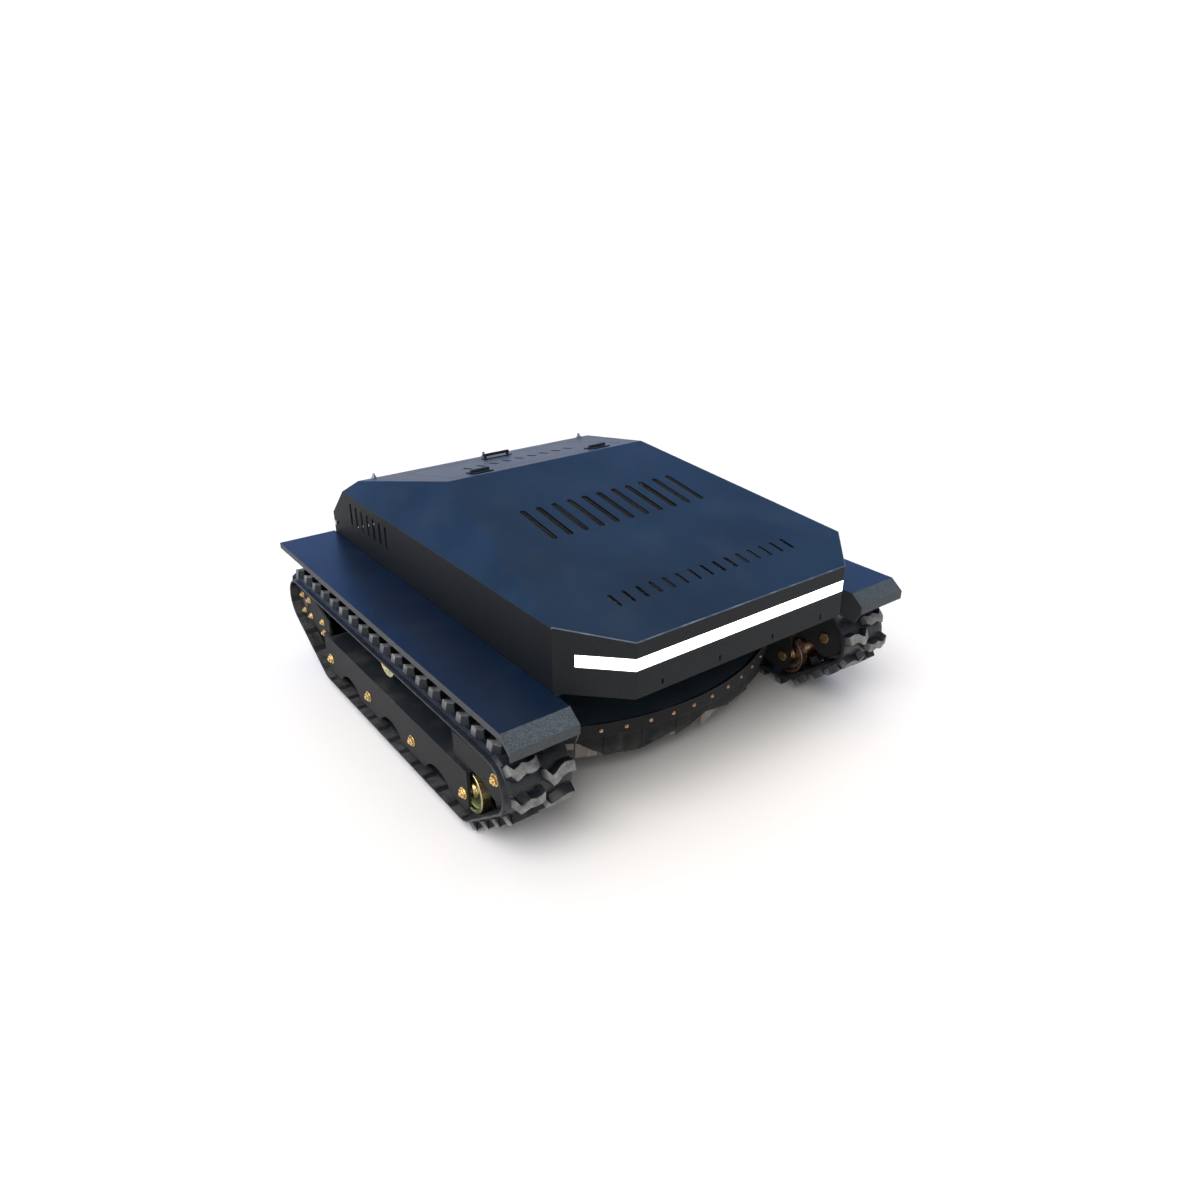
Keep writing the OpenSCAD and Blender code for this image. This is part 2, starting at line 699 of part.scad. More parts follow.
module wheel_arches() {
    for (i = [0:2]) translate([first_wheel_y + (i + 0.5) * wheel_pitch, 5]) circle(r = 75, $fn = 72);
}
module frame_side(rear_y, top_z) {
    difference() {
        polygon([[frame_front_y, 60], [frame_front_y + 14, 48], [rear_y - 12, 48], [rear_y, 60],
            [rear_y, top_z], [frame_front_y, top_z]]);
        wheel_arches();
    }
}
module wheel_axle_holes(x0, x1) {
    for (i = [0:3]) bar_x([first_wheel_y + i * wheel_pitch, wheel_z], axle_r + running_gap, x0, x1);
}
module side_frame() {
    color(black_paint) difference() {
        union() {
            along_x(outer_plate_x, outer_plate_x + plate_t) frame_side(frame_rear_y, channel_top_z);
            along_x(inner_plate_x, inner_plate_x + plate_t) union() {
                frame_side(frame_rear_y + 20, 232);
                polygon([[frame_rear_y + 10, 138], [drive.x - 14, drive.y - 48], [drive.x, drive.y],
                    [drive.x, drive.y + 40], [frame_rear_y + 10, 232]]);
                translate(drive) circle(r = 50, $fn = 72);
            }
            block([inner_plate_x, outer_plate_x + 1], [frame_front_y, frame_rear_y - 32],
                [channel_top_z - 6, channel_top_z]);
            // Stop for the tensioner spring
            block([belt_x - 30, belt_x + 30], [-272, -260], [channel_top_z - 1, 210]);
        }
        wheel_axle_holes(inner_plate_x - 5, outer_plate_x + plate_t + 5);
        bar_x(carrier, carrier_axle_r + running_gap, inner_plate_x - 5, inner_plate_x + plate_t + 5);
        bar_x(drive, shaft_r + 3, inner_plate_x - 5, inner_plate_x + plate_t + 5);
    }
}
bracket_bolt_points = concat(
    [for (dy = [-26, 22], dz = [-34, 14]) drive + [dy, dz]],
    [for (z = [142, 174]) [frame_rear_y + 18, z]]);
module drive_bracket() {
    rear = frame_rear_y;
    color(black_paint) difference() {
        along_x(arm_outer_x, arm_outer_x + arm_t) union() {
            translate(drive) circle(r = 50, $fn = 72);
            polygon([[rear - 26, 112], [drive.x - 14, drive.y - 48], [drive.x, drive.y],
                [drive.x - 8, drive.y + 49], [rear - 26, 190]]);
        }
        bar_x(drive, shaft_r + running_gap, arm_outer_x - 5, arm_outer_x + arm_t + 5);
    }
}
module track_bolts() {
    color(brass) {
        for (i = [0:3]) {
            p = [first_wheel_y + i * wheel_pitch, wheel_z];
            bar_x(p, axle_r, inner_plate_x - 6, outer_plate_x + plate_t + 11);
            bar_x(p, 15, outer_plate_x + plate_t, outer_plate_x + plate_t + 7, 6);
            bar_x(p, 15, inner_plate_x - 6, inner_plate_x, 6);
        }
        bar_x(idler, axle_r, arm_inner_x - 8, arm_outer_x + arm_t + 10);
        bar_x(idler, 15, arm_outer_x + arm_t, arm_outer_x + arm_t + 7, 6);
        bar_x(idler, 15, arm_inner_x - 7, arm_inner_x, 6);
        bar_x(carrier, carrier_axle_r, inner_plate_x - 6, belt_x + 52);
        bar_x(carrier, 13, belt_x + 48, belt_x + 54, 6);
        bar_x(carrier, 13, inner_plate_x - 6, inner_plate_x, 6);
        for (p = bracket_bolt_points) {
            bar_x(p, 10, arm_outer_x + arm_t, arm_outer_x + arm_t + 6, 6);
            bar_x(p, 5, arm_outer_x + arm_t, arm_outer_x + arm_t + 10);
        }
    }
}
module idler_arms() {
    color(black_paint) {
        for (x = [arm_inner_x, arm_outer_x]) difference() {
            along_x(x, x + arm_t) union() {
                translate(idler) circle(r = 53, $fn = 72);
                polygon([idler + [0, -46], [-444, 160], [frame_front_y, 160], [frame_front_y, channel_top_z],
                    [-330, channel_top_z], [-330, 216], [-444, 222], idler + [0, 46]]);
            }
            bar_x(idler, axle_r + running_gap, x - 5, x + arm_t + 5);
        }
        block([arm_inner_x + arm_t, arm_outer_x], [-432, -422], [166, 206]);
    }
}
module tensioner() {
    color(steel) translate([belt_x, -422, 186]) rotate([-90, 0, 0]) {
        cylinder(r = 17, h = 47);
        translate([0, 0, 46]) rotate_extrude($fn = 48)
            polygon(concat([[0, 0], [12, 0]], [for (i = [0:14], j = [0, 1]) [12 + 6 * j, 3 + i * 6 + 3 * j]],
                [[12, 96], [12, 104], [0, 104]]));
    }
}
module gearmotor() {
    color([0.32, 0.33, 0.35]) difference() {
        union() {
            bar_x(drive, 54, inner_plate_x - 12, inner_plate_x);
            bar_x(drive, 48, inner_plate_x - 82, inner_plate_x - 12);
            bar_x(drive, 40, 240, inner_plate_x - 82);
            block([262, 322], [drive.x - 24, drive.x + 24], [drive.y + 30, drive.y + 54]);
        }
        bar_x(drive, shaft_r + running_gap, inner_plate_x - 62, inner_plate_x + 5);
    }
}

// ---------- Wheels ----------

// Half section of a double-disc wheel: rim radius, hub radius, bore radius and overall width
module wheel_section(rim, hub, bore, width, disc, dish) {
    h = width / 2;
    polygon([[bore, -h], [bore + 7, -h], [bore + 10, -h + dish], [rim - 11, -h + dish], [rim - 7, -h],
        [rim, -h], [rim, -h + disc], [hub, -h + disc], [hub, h - disc], [rim, h - disc], [rim, h],
        [rim - 7, h], [rim - 11, h - dish], [bore + 10, h - dish], [bore + 7, h], [bore, h]]);
}
module road_wheel(i) {
    p = [first_wheel_y + (i - 1) * wheel_pitch, wheel_z];
    color(zinc) turned_x(p, belt_x)
        wheel_section(wheel_r - belt_gap, 30, axle_r + running_gap, 108, 22, 8);
}
module front_idler() {
    color(zinc) turned_x(idler, belt_x)
        wheel_section(drive_r - 0.6, 34, axle_r + running_gap, 92, 15, 5);
}
module carrier_roller() {
    color(zinc) turned_x(carrier, belt_x)
        wheel_section(carrier_r, 14, carrier_axle_r + running_gap, 94, 16, 4);
}
sprocket_teeth = 7;
module drive_sprocket() {
    color(steel) {
        turned_x(drive, belt_x) wheel_section(drive_r - 0.6, 34, shaft_r - 3, 92, 15, 5);
        along_x(belt_x - 11, belt_x + 11) translate(drive) union() {
            circle(r = 50, $fn = 72);
            for (i = [0:sprocket_teeth - 1]) rotate(i * 360 / sprocket_teeth)
                polygon([[40, -13], [60, -10], [65.2, -5], [65.2, 5], [60, 10], [40, 13]]);
        }
        bar_x(drive, shaft_r, inner_plate_x - 56, arm_outer_x + arm_t + 3);
    }
}

// ---------- Mirrored copies ----------

module right_side() { mirror([1, 0, 0]) children(); }

chassis_frame();
floor_pan();
hood_shell();
light_strip();
light_housing();
vent_screens();
hood_screws();
left_fender();
right_fender();
rear_panel();
tow_hitch();
charge_port();
battery_packs();
controller_box();
lift_actuator();
estop_base();
estop_button();
lid_hinge_base();
lid_seal();
access_lid();
lid_hinge_leaf();
lid_handle();
deck_shell();
deck_clamp_strip();
deck_skirt();
deck_bolts();
deck_lift_rods();
blade_motor();
blade_spindle();
cutter_blade();
track_belt();  // left_track_belt
belt_lugs();  // left_belt_lugs
side_frame();  // left_side_frame
drive_bracket();  // left_drive_bracket
track_bolts();  // left_track_bolts
idler_arms();  // left_idler_arms
tensioner();  // left_tensioner
gearmotor();  // left_gearmotor
drive_sprocket();  // left_drive_sprocket
front_idler();  // left_front_idler
road_wheel(1);  // left_road_wheel_1
road_wheel(2);  // left_road_wheel_2
road_wheel(3);  // left_road_wheel_3
road_wheel(4);  // left_road_wheel_4
carrier_roller();  // left_carrier_roller
right_side() track_belt();  // right_track_belt
right_side() belt_lugs();  // right_belt_lugs
right_side() side_frame();  // right_side_frame
right_side() drive_bracket();  // right_drive_bracket
right_side() track_bolts();  // right_track_bolts
right_side() idler_arms();  // right_idler_arms
right_side() tensioner();  // right_tensioner
right_side() gearmotor();  // right_gearmotor
right_side() drive_sprocket();  // right_drive_sprocket
right_side() front_idler();  // right_front_idler
right_side() road_wheel(1);  // right_road_wheel_1
right_side() road_wheel(2);  // right_road_wheel_2
right_side() road_wheel(3);  // right_road_wheel_3
right_side() road_wheel(4);  // right_road_wheel_4
right_side() carrier_roller();  // right_carrier_roller
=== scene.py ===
import math
import bmesh
import bpy
from mathutils import Matrix, Vector, noise


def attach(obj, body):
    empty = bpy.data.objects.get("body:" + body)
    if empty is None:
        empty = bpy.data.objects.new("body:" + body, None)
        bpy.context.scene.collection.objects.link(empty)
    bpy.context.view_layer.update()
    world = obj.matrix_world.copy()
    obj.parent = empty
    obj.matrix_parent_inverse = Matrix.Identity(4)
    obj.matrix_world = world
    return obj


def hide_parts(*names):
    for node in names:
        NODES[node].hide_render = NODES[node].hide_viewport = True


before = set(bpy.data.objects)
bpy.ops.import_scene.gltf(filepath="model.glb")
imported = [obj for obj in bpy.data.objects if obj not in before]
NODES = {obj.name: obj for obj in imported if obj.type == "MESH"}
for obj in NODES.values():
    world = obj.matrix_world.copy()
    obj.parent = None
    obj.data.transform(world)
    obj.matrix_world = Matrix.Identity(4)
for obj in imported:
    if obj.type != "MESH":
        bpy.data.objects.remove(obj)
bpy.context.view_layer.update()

# Looks for a remote-controlled tracked chassis. Metres; the front faces -Y, +X is the machine's own left.
SIDES = {"left": 1, "right": -1}


# ---------- Materials ----------

class Look:
    """A node material under construction, with one short call for each kind of node."""

    def __init__(self, name):
        self.material = bpy.data.materials.new(name)
        self.material.use_nodes = True
        self.tree = self.material.node_tree
        self.shader = self.tree.nodes["Principled BSDF"]
        coordinates = self.add("ShaderNodeTexCoord")
        self.place = coordinates.outputs["Object"]
        self.facing = self.add("ShaderNodeSeparateXYZ")
        self.wire(self.facing.inputs[0], coordinates.outputs["Normal"])
        self.where = self.add("ShaderNodeSeparateXYZ")
        self.wire(self.where.inputs[0], self.place)

    def add(self, kind, **settings):
        node = self.tree.nodes.new(kind)
        for key, value in settings.items():
            setattr(node, key, value)
        return node

    def wire(self, socket, value):
        """Links an output to a socket, or sets the socket when the value is a constant."""
        if isinstance(value, bpy.types.NodeSocket):
            self.tree.links.new(value, socket)
        else:
            socket.default_value = value

    def noise(self, scale, detail=3.0, stretch=(1, 1, 1)):
        mapping = self.add("ShaderNodeMapping")
        mapping.inputs["Scale"].default_value = stretch
        self.wire(mapping.inputs["Vector"], self.place)
        node = self.add("ShaderNodeTexNoise")
        node.inputs["Scale"].default_value = scale
        node.inputs["Detail"].default_value = detail
        self.wire(node.inputs["Vector"], mapping.outputs["Vector"])
        return node.outputs["Fac"]

    def cells(self, scale):
        node = self.add("ShaderNodeTexVoronoi")
        node.inputs["Scale"].default_value = scale
        self.wire(node.inputs["Vector"], self.place)
        return node.outputs["Distance"]

    def span(self, value, low, high, to_low=0.0, to_high=1.0):
        node = self.add("ShaderNodeMapRange")
        for index, item in enumerate((value, low, high, to_low, to_high)):
            self.wire(node.inputs[index], item)
        return node.outputs["Result"]

    def calc(self, operation, a, b):
        node = self.add("ShaderNodeMath", operation=operation, use_clamp=True)
        self.wire(node.inputs[0], a)
        self.wire(node.inputs[1], b)
        return node.outputs[0]

    def mix(self, amount, a, b):
        node = self.add("ShaderNodeMix", data_type="RGBA")
        self.wire(node.inputs["Factor"], amount)
        self.wire(node.inputs["A"], a)
        self.wire(node.inputs["B"], b)
        return node.outputs["Result"]

    def painted(self, name):
        """A number that mesh code stored on the surface."""
        return self.add("ShaderNodeAttribute", attribute_name=name).outputs["Fac"]

    def bump(self, height, distance, under=None):
        node = self.add("ShaderNodeBump")
        node.inputs["Distance"].default_value = distance
        self.wire(node.inputs["Height"], height)
        if under:
            self.wire(node.inputs["Normal"], under)
        return node.outputs["Normal"]

    def done(self, **inputs):
        for name, value in inputs.items():
            self.wire(self.shader.inputs[name.replace("_", " ")], value)
        return self.material


def colour(r, g, b):
    return (r, g, b, 1.0)


DUST = colour(0.16, 0.145, 0.125)
GRIT = colour(0.085, 0.105, 0.115)


def powder_coat(name, level, upright_painted_shading, rough, dust=0.25, shine=0.3, spray=0.0):
    """Satin powder coat: fine orange peel, cloudy tone, dust specks that gather on level faces.

    Level faces show the coat's blue and vertical faces a second colour, for most coats nearly black: painted
    shading that stands in for the sky lighting level faces more.
    spray is how much road grit speckles the slopes that look forward."""
    k = Look(name)
    cloud = k.span(k.noise(4, 5), 0.3, 0.7, 0.75, 1.25)
    grain = k.noise(420, 2)
    specks = k.span(k.cells(160), 0.10, 0.03)
    flat = k.span(k.facing.outputs["Z"], 0.15, 0.75)
    patches = k.span(k.noise(9, 6), 0.5, 0.8)
    dusty = k.calc("MULTIPLY", k.calc("MULTIPLY", k.calc("ADD", specks, patches), flat), dust)
    tone = k.add("ShaderNodeHueSaturation")
    # Painted shading: the colour changes with facing, from the level colour to the second colour on vertical
    # faces.
    k.wire(tone.inputs["Color"], k.mix(flat, upright_painted_shading, level))
    k.wire(tone.inputs["Value"], cloud)
    ahead = k.calc("MULTIPLY", k.span(k.facing.outputs["Y"], -0.25, -0.6), k.span(flat, 0, 0.5, 0.5, 1.0))
    speckle = k.span(k.noise(330, 3), 0.42, 0.62, 0.35, 1.0)
    grit = k.calc("MULTIPLY", speckle, k.calc("MULTIPLY", ahead, spray))
    coat = k.mix(grit, tone.outputs["Color"], GRIT)
    matt = k.calc("ADD", k.calc("MULTIPLY", k.calc("ADD", dusty, grit), 0.5), k.span(flat, 0, 1, 0.2, 0.0))
    return k.done(Base_Color=k.mix(dusty, coat, DUST),
                  Roughness=k.calc("ADD", k.span(grain, 0.3, 0.7, rough - 0.05, rough + 0.05), matt),
                  Specular_IOR_Level=shine,
                  Normal=k.bump(k.noise(1100, 2), 0.00012, k.bump(grain, 0.00025)))


def worn_edge_with_painted_shading(name, level, upright_painted_shading, rubbed):
    """Paint polished along a fold, a shade lighter in places, with the same painted shading by facing as the
    powder coat.
    """
    k = Look(name)
    flat = k.span(k.facing.outputs["Z"], 0.15, 0.75)
    rub = k.calc("MULTIPLY", k.span(k.noise(23, 5), 0.45, 0.7), k.span(flat, 0, 1, 0.35, 1.0))
    return k.done(Base_Color=k.mix(rub, k.mix(flat, upright_painted_shading, level), rubbed),
                  Roughness=k.span(k.noise(300, 2), 0.3, 0.7, 0.32, 0.42),
                  Specular_IOR_Level=0.35,
                  Normal=k.bump(k.noise(500, 2), 0.0001))


def zinc_plate(name, yellow, green, rose):
    """Yellow-passivated zinc: greenish and rosy clouds over fine brushing, with dirt in the low spots."""
    k = Look(name)
    film = k.mix(k.span(k.noise(16, 4), 0.35, 0.7), yellow, green)
    film = k.mix(k.span(k.noise(31, 3), 0.55, 0.8), film, rose)
    dirt = k.span(k.noise(24, 7), 0.58, 0.85)
    fine = k.noise(260, 3)
    return k.done(Base_Color=k.mix(dirt, film, colour(0.05, 0.045, 0.035)),
                  Metallic=k.span(dirt, 0, 1, 1.0, 0.35),
                  Roughness=k.calc("ADD", k.span(fine, 0.3, 0.7, 0.24, 0.4), k.calc("MULTIPLY", dirt, 0.3)),
                  Normal=k.bump(fine, 0.0002))


def bare_metal(name, deep, light, low_rough, high_rough, stretch=(1, 1, 1)):
    k = Look(name)
    streak = k.noise(90, 4, stretch)
    return k.done(Base_Color=k.mix(k.span(k.noise(11, 5), 0.35, 0.7), deep, light), Metallic=1.0,
                  Roughness=k.span(streak, 0.3, 0.7, low_rough, high_rough),
                  Normal=k.bump(streak, 0.00015))


def moulded(name, deep, light, low_rough, high_rough, grain=700):
    """Moulded plastic with a fine grain and a slightly uneven tone."""
    k = Look(name)
    fine = k.noise(grain, 2)
    return k.done(Base_Color=k.mix(k.span(k.noise(13, 4), 0.35, 0.7), deep, light),
                  Roughness=k.span(fine, 0.3, 0.7, low_rough, high_rough),
                  Normal=k.bump(fine, 0.0002))


def track_rubber(name):
    """Blue-black tread rubber: scuffed pale where the mesh says it wears, and paler on the inner ribs where
    the mesh paints a highlight, dust in the pits.
    """
    k = Look(name)
    scuff = k.span(k.noise(46, 6), 0.3, 0.62)
    wear_and_highlight = k.calc("MULTIPLY", k.painted("wear_and_highlight"), k.span(scuff, 0, 1, 0.35, 1.0))
    smear = k.span(k.noise(12, 5), 0.42, 0.72)
    base = k.mix(smear, colour(0.003, 0.0045, 0.007), colour(0.010, 0.015, 0.021))
    fine = k.noise(380, 3)
    pale = k.mix(k.noise(210, 4), colour(0.09, 0.092, 0.095), colour(0.36, 0.355, 0.345))
    return k.done(Base_Color=k.mix(wear_and_highlight, base, pale),
                  Roughness=k.calc("ADD", k.span(fine, 0.3, 0.7, 0.28, 0.44), k.calc("MULTIPLY", wear_and_highlight, 0.35)),
                  Specular_IOR_Level=0.32,
                  Normal=k.bump(fine, 0.0004, k.bump(scuff, 0.0006)))


def sheet_rubber(name, deep, light, scratch):
    """Skirt rubber: dull, with long scratches and clippings dust towards the bottom."""
    k = Look(name)
    lines = k.span(k.noise(60, 5, (1, 1, 0.15)), 0.6, 0.75)
    low = k.span(k.where.outputs["Z"], 0.10, 0.05)
    dusty = k.calc("MULTIPLY", k.span(k.noise(30, 6), 0.4, 0.7), k.span(low, 0, 1, 0.1, 0.7))
    tone = k.mix(lines, k.mix(k.span(k.noise(8, 4), 0.35, 0.7), deep, light), scratch)
    fine = k.noise(300, 3)
    return k.done(Base_Color=k.mix(dusty, tone, colour(0.12, 0.115, 0.10)),
                  Roughness=k.span(fine, 0.3, 0.7, 0.55, 0.75),
                  Specular_IOR_Level=0.2,
                  Normal=k.bump(fine, 0.0005))


def lit_diffuser(name):
    """White lit strip, very slightly brighter over each lamp behind it."""
    k = Look(name)
    lamps = k.add("ShaderNodeTexWave", wave_type="BANDS", bands_direction="X")
    lamps.inputs["Scale"].default_value = 8
    k.wire(lamps.inputs["Vector"], k.place)
    glow = k.mix(lamps.outputs["Fac"], colour(0.93, 0.96, 1.0), colour(1, 1, 1))
    return k.done(Base_Color=glow, Roughness=k.span(k.noise(200, 2), 0.3, 0.7, 0.35, 0.45),
                  Emission_Color=glow, Emission_Strength=3.2, Normal=k.bump(k.noise(300, 2), 0.0001))


# Each coat and edge below takes a colour for level faces, then one for vertical faces that is painted
# shading, not a second paint.
hood_paint = powder_coat("hood_paint", colour(0.008, 0.0215, 0.045), colour(0.0042, 0.0054, 0.0062), 0.40,
                         0.05, 0.22, 0.12)
# The hood's edge colours are lighter than its paint: a painted highlight along the nose's top fold, with some
# wear rubbed lighter in places.
hood_edge_highlight_and_wear = worn_edge_with_painted_shading("hood_edge_highlight_and_wear", colour(0.05, 0.075, 0.12), colour(0.035, 0.045, 0.06),
                      colour(0.20, 0.24, 0.30))
fender_edge = worn_edge_with_painted_shading("fender_edge", colour(0.014, 0.024, 0.044), colour(0.018, 0.018, 0.020),
                        colour(0.05, 0.07, 0.10))
fender_paint = powder_coat("fender_paint", colour(0.002, 0.009, 0.026), colour(0.020, 0.022, 0.024), 0.34,
                           0.03, 0.45, 0.78)
black_paint = powder_coat("black_paint", colour(0.008, 0.011, 0.014), colour(0.012, 0.012, 0.0125), 0.45,
                          0.30, 0.2)
black_edge = worn_edge_with_painted_shading("black_edge", colour(0.016, 0.020, 0.030), colour(0.018, 0.018, 0.020),
                       colour(0.06, 0.065, 0.08))
deck_paint = powder_coat("deck_paint", colour(0.052, 0.082, 0.112), colour(0.014, 0.014, 0.015), 0.5,
                         0.5, 0.25)
beam_paint = powder_coat("beam_paint", colour(0.014, 0.017, 0.021), colour(0.0145, 0.0144, 0.0142), 0.48,
                         0.35, 0.25)
yellow_zinc = zinc_plate("yellow_zinc", colour(0.82, 0.68, 0.32), colour(0.58, 0.60, 0.30),
                         colour(0.72, 0.46, 0.34))
rose_zinc = zinc_plate("rose_zinc", colour(0.60, 0.36, 0.24), colour(0.46, 0.34, 0.24),
                       colour(0.42, 0.22, 0.18))
gold_bolt = zinc_plate("gold_bolt", colour(0.80, 0.56, 0.24), colour(0.72, 0.50, 0.20),
                       colour(0.78, 0.44, 0.30))
ground_steel = bare_metal("ground_steel", colour(0.40, 0.41, 0.43), colour(0.58, 0.59, 0.60), 0.22, 0.38,
                          (1, 1, 0.2))
dark_steel = bare_metal("dark_steel", colour(0.05, 0.05, 0.053), colour(0.11, 0.108, 0.105), 0.38, 0.55)
cast_grey = bare_metal("cast_grey", colour(0.16, 0.165, 0.175), colour(0.26, 0.265, 0.28), 0.45, 0.62)
battery_case = moulded("battery_case", colour(0.05, 0.055, 0.06), colour(0.08, 0.085, 0.09), 0.45, 0.6)
black_plastic = moulded("black_plastic", colour(0.012, 0.012, 0.013), colour(0.022, 0.022, 0.023), 0.4, 0.55)
yellow_plastic = moulded("yellow_plastic", colour(0.62, 0.42, 0.02), colour(0.72, 0.52, 0.04), 0.35, 0.5)
red_plastic = moulded("red_plastic", colour(0.42, 0.015, 0.01), colour(0.52, 0.03, 0.02), 0.22, 0.34)
mesh_paint = moulded("mesh_paint", colour(0.02, 0.02, 0.022), colour(0.035, 0.035, 0.038), 0.4, 0.6)
tread = track_rubber("tread")
skirt_outer = sheet_rubber("skirt_outer", colour(0.005, 0.006, 0.007), colour(0.010, 0.011, 0.0125),
                           colour(0.022, 0.023, 0.025))
skirt_inner = sheet_rubber("skirt_inner", colour(0.15, 0.135, 0.12), colour(0.22, 0.20, 0.18),
                           colour(0.30, 0.28, 0.26))
diffuser = lit_diffuser("diffuser")


# ---------- Mesh helpers ----------

def new_piece(name, mesh, body, slot, *materials):
    """A named piece from a finished mesh or bmesh, riding on a body."""
    if isinstance(mesh, bmesh.types.BMesh):
        built = bpy.data.meshes.new(name)
        mesh.to_mesh(built)
        mesh.free()
        mesh = built
    piece = bpy.data.objects.new(name, mesh)
    bpy.context.scene.collection.objects.link(piece)
    for material in materials:
        piece.data.materials.append(material)
    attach(piece, body)
    return piece


def smooth(piece, degrees=32):
    piece.data.shade_smooth()
    piece.data.set_sharp_from_angle(angle=math.radians(degrees))


def rounded(piece, width, segments=2, edge_slot=-1, degrees=30):
    """Welds a piece's corners, joins its coplanar faces and rounds its sharp edges, which may look worn."""
    weld = piece.modifiers.new("weld", "WELD")
    weld.merge_threshold = 0.00002
    flat = piece.modifiers.new("flat", "DECIMATE")
    flat.decimate_type, flat.angle_limit = "DISSOLVE", math.radians(0.5)
    bevel = piece.modifiers.new("round", "BEVEL")
    bevel.width, bevel.segments = width, segments
    bevel.limit_method, bevel.angle_limit = "ANGLE", math.radians(degrees)
    bevel.material = edge_slot
    shade = piece.modifiers.new("shade", "WEIGHTED_NORMAL")
    shade.weight, shade.keep_sharp = 80, True


def dress(node, *materials, width=0.0008, degrees=30):
    """Gives a CAD node its material, rounded edges and, with a second material, worn ones."""
    piece = NODES[node]
    piece.data.materials.clear()
    for material in materials:
        piece.data.materials.append(material)
    smooth(piece)
    rounded(piece, width, edge_slot=len(materials) - 1, degrees=degrees)


def evaluated(piece):
    """Turns a piece's modifiers into its own mesh."""
    graph = bpy.context.evaluated_depsgraph_get()
    mesh = bpy.data.meshes.new_from_object(piece.evaluated_get(graph))
    piece.modifiers.clear()
    piece.data = mesh


def prism(bm, outline, along):
    """A closed prism: the outline's points and the same points moved by along."""
    low = [bm.verts.new(p) for p in outline]
    high = [bm.verts.new(Vector(p) + Vector(along)) for p in outline]
    bm.faces.new(low)
    bm.faces.new(high[::-1])
    for i in range(len(low)):
        j = (i + 1) % len(low)
        bm.faces.new((low[i], high[i], high[j], low[j]))


def slot_outline(length, width, place, steps=8):
    """A slot with round ends as points; place turns a point in the slot's own plane into the frame."""
    half = (length - width) / 2
    turns = [(half, i * math.pi / steps) for i in range(steps + 1)]
    turns += [(-half, math.pi + i * math.pi / steps) for i in range(steps + 1)]
    return [place(width / 2 * math.cos(a), y + width / 2 * math.sin(a)) for y, a in turns]


# ---------- Hood ----------

HOOD_HALF, NOSE_HALF, RIDGE_HALF = 0.417, 0.302, 0.300
FRONT_Y, CHAMFER_Y, RIDGE_Y, SHOULDER_Y, REAR_Y = -0.627, -0.510, 0.096, 0.460, 0.582
BOTTOM_Z, NOSE_Z, RIDGE_Z, SHOULDER_Z, TAIL_Z, FOLD_Z = 0.346, 0.471, 0.598, 0.521, 0.407, 0.489
SHEET = 0.003
FOLD_RADIUS = 0.003
ROOF = ((FRONT_Y, NOSE_Z), (RIDGE_Y, RIDGE_Z))
REAR_ROOF = ((RIDGE_Y, RIDGE_Z), (SHOULDER_Y, SHOULDER_Z))
TAIL = ((SHOULDER_Y, SHOULDER_Z), (REAR_Y, TAIL_Z))
ESTOP_Y, ESTOP_HOLE_R = 0.520, 0.0112
LID_Y, LID_HALF, LID_LENGTH, LID_GAP = 0.146, 0.262, 0.262, 0.0015
LIGHT_Z, LIGHT_START, LIGHT_GAP = (0.408, 0.435), 0.27, 0.0005
# Rows of roof vents: station along the machine, count, pitch, slot length and width
ROOF_VENTS = (-0.172, 11, 0.044, 0.142, 0.016)
NOSE_VENTS = (-0.494, 15, 0.036, 0.044, 0.009)
SIDE_VENT_Y, SIDE_VENT_Z, SIDE_VENT_SIZE = 0.338, 0.436, (0.062, 0.013)
SIDE_VENT_COUNT, SIDE_VENT_PITCH = 7, 0.036
DRAIN_XS, DRAIN_Z, DRAIN_SIZE = (-0.234, -0.078, 0.078, 0.234), 0.363, (0.014, 0.005)
# The screens behind the vents: mesh pitch, depth behind the surface, weave height and wire thickness
SCREEN_PITCH, SCREEN_DEPTH, SCREEN_WEAVE, SCREEN_WIRE = 0.007, 0.0042, 0.0003, 0.0014


def on_slope(slope, y):
    """A place function on a roof plane at station y: x across, u down the slope, h off the surface."""
    (y0, z0), (y1, z1) = slope
    angle = math.atan2(z1 - z0, y1 - y0)
    turn = Matrix.Rotation(angle, 3, "X")
    foot = Vector((0, y, z0 + (y - y0) * math.tan(angle)))
    return lambda x, u, h=0.0: foot + turn @ Vector((x, u, h))


def hood_planes():
    """Each outer plane of the hood as (a point on it, its outward normal)."""
    planes = [((0, REAR_Y, 0), (0, 1, 0)), ((0, FRONT_Y, 0), (0, -1, 0)), ((0, 0, BOTTOM_Z), (0, 0, -1))]
    for (y0, z0), (y1, z1) in (ROOF, REAR_ROOF, TAIL):
        planes.append(((0, y0, z0), (0, z0 - z1, y1 - y0)))
    for side in SIDES.values():
        planes.append(((side * HOOD_HALF, 0, 0), (side, 0, 0)))
        planes.append(((side * HOOD_HALF, 0, FOLD_Z), (side * (RIDGE_Z - FOLD_Z), 0, HOOD_HALF - RIDGE_HALF)))
        planes.append(((side * NOSE_HALF, FRONT_Y, 0),
                       (side * (CHAMFER_Y - FRONT_Y), -(HOOD_HALF - NOSE_HALF), 0)))
    return planes


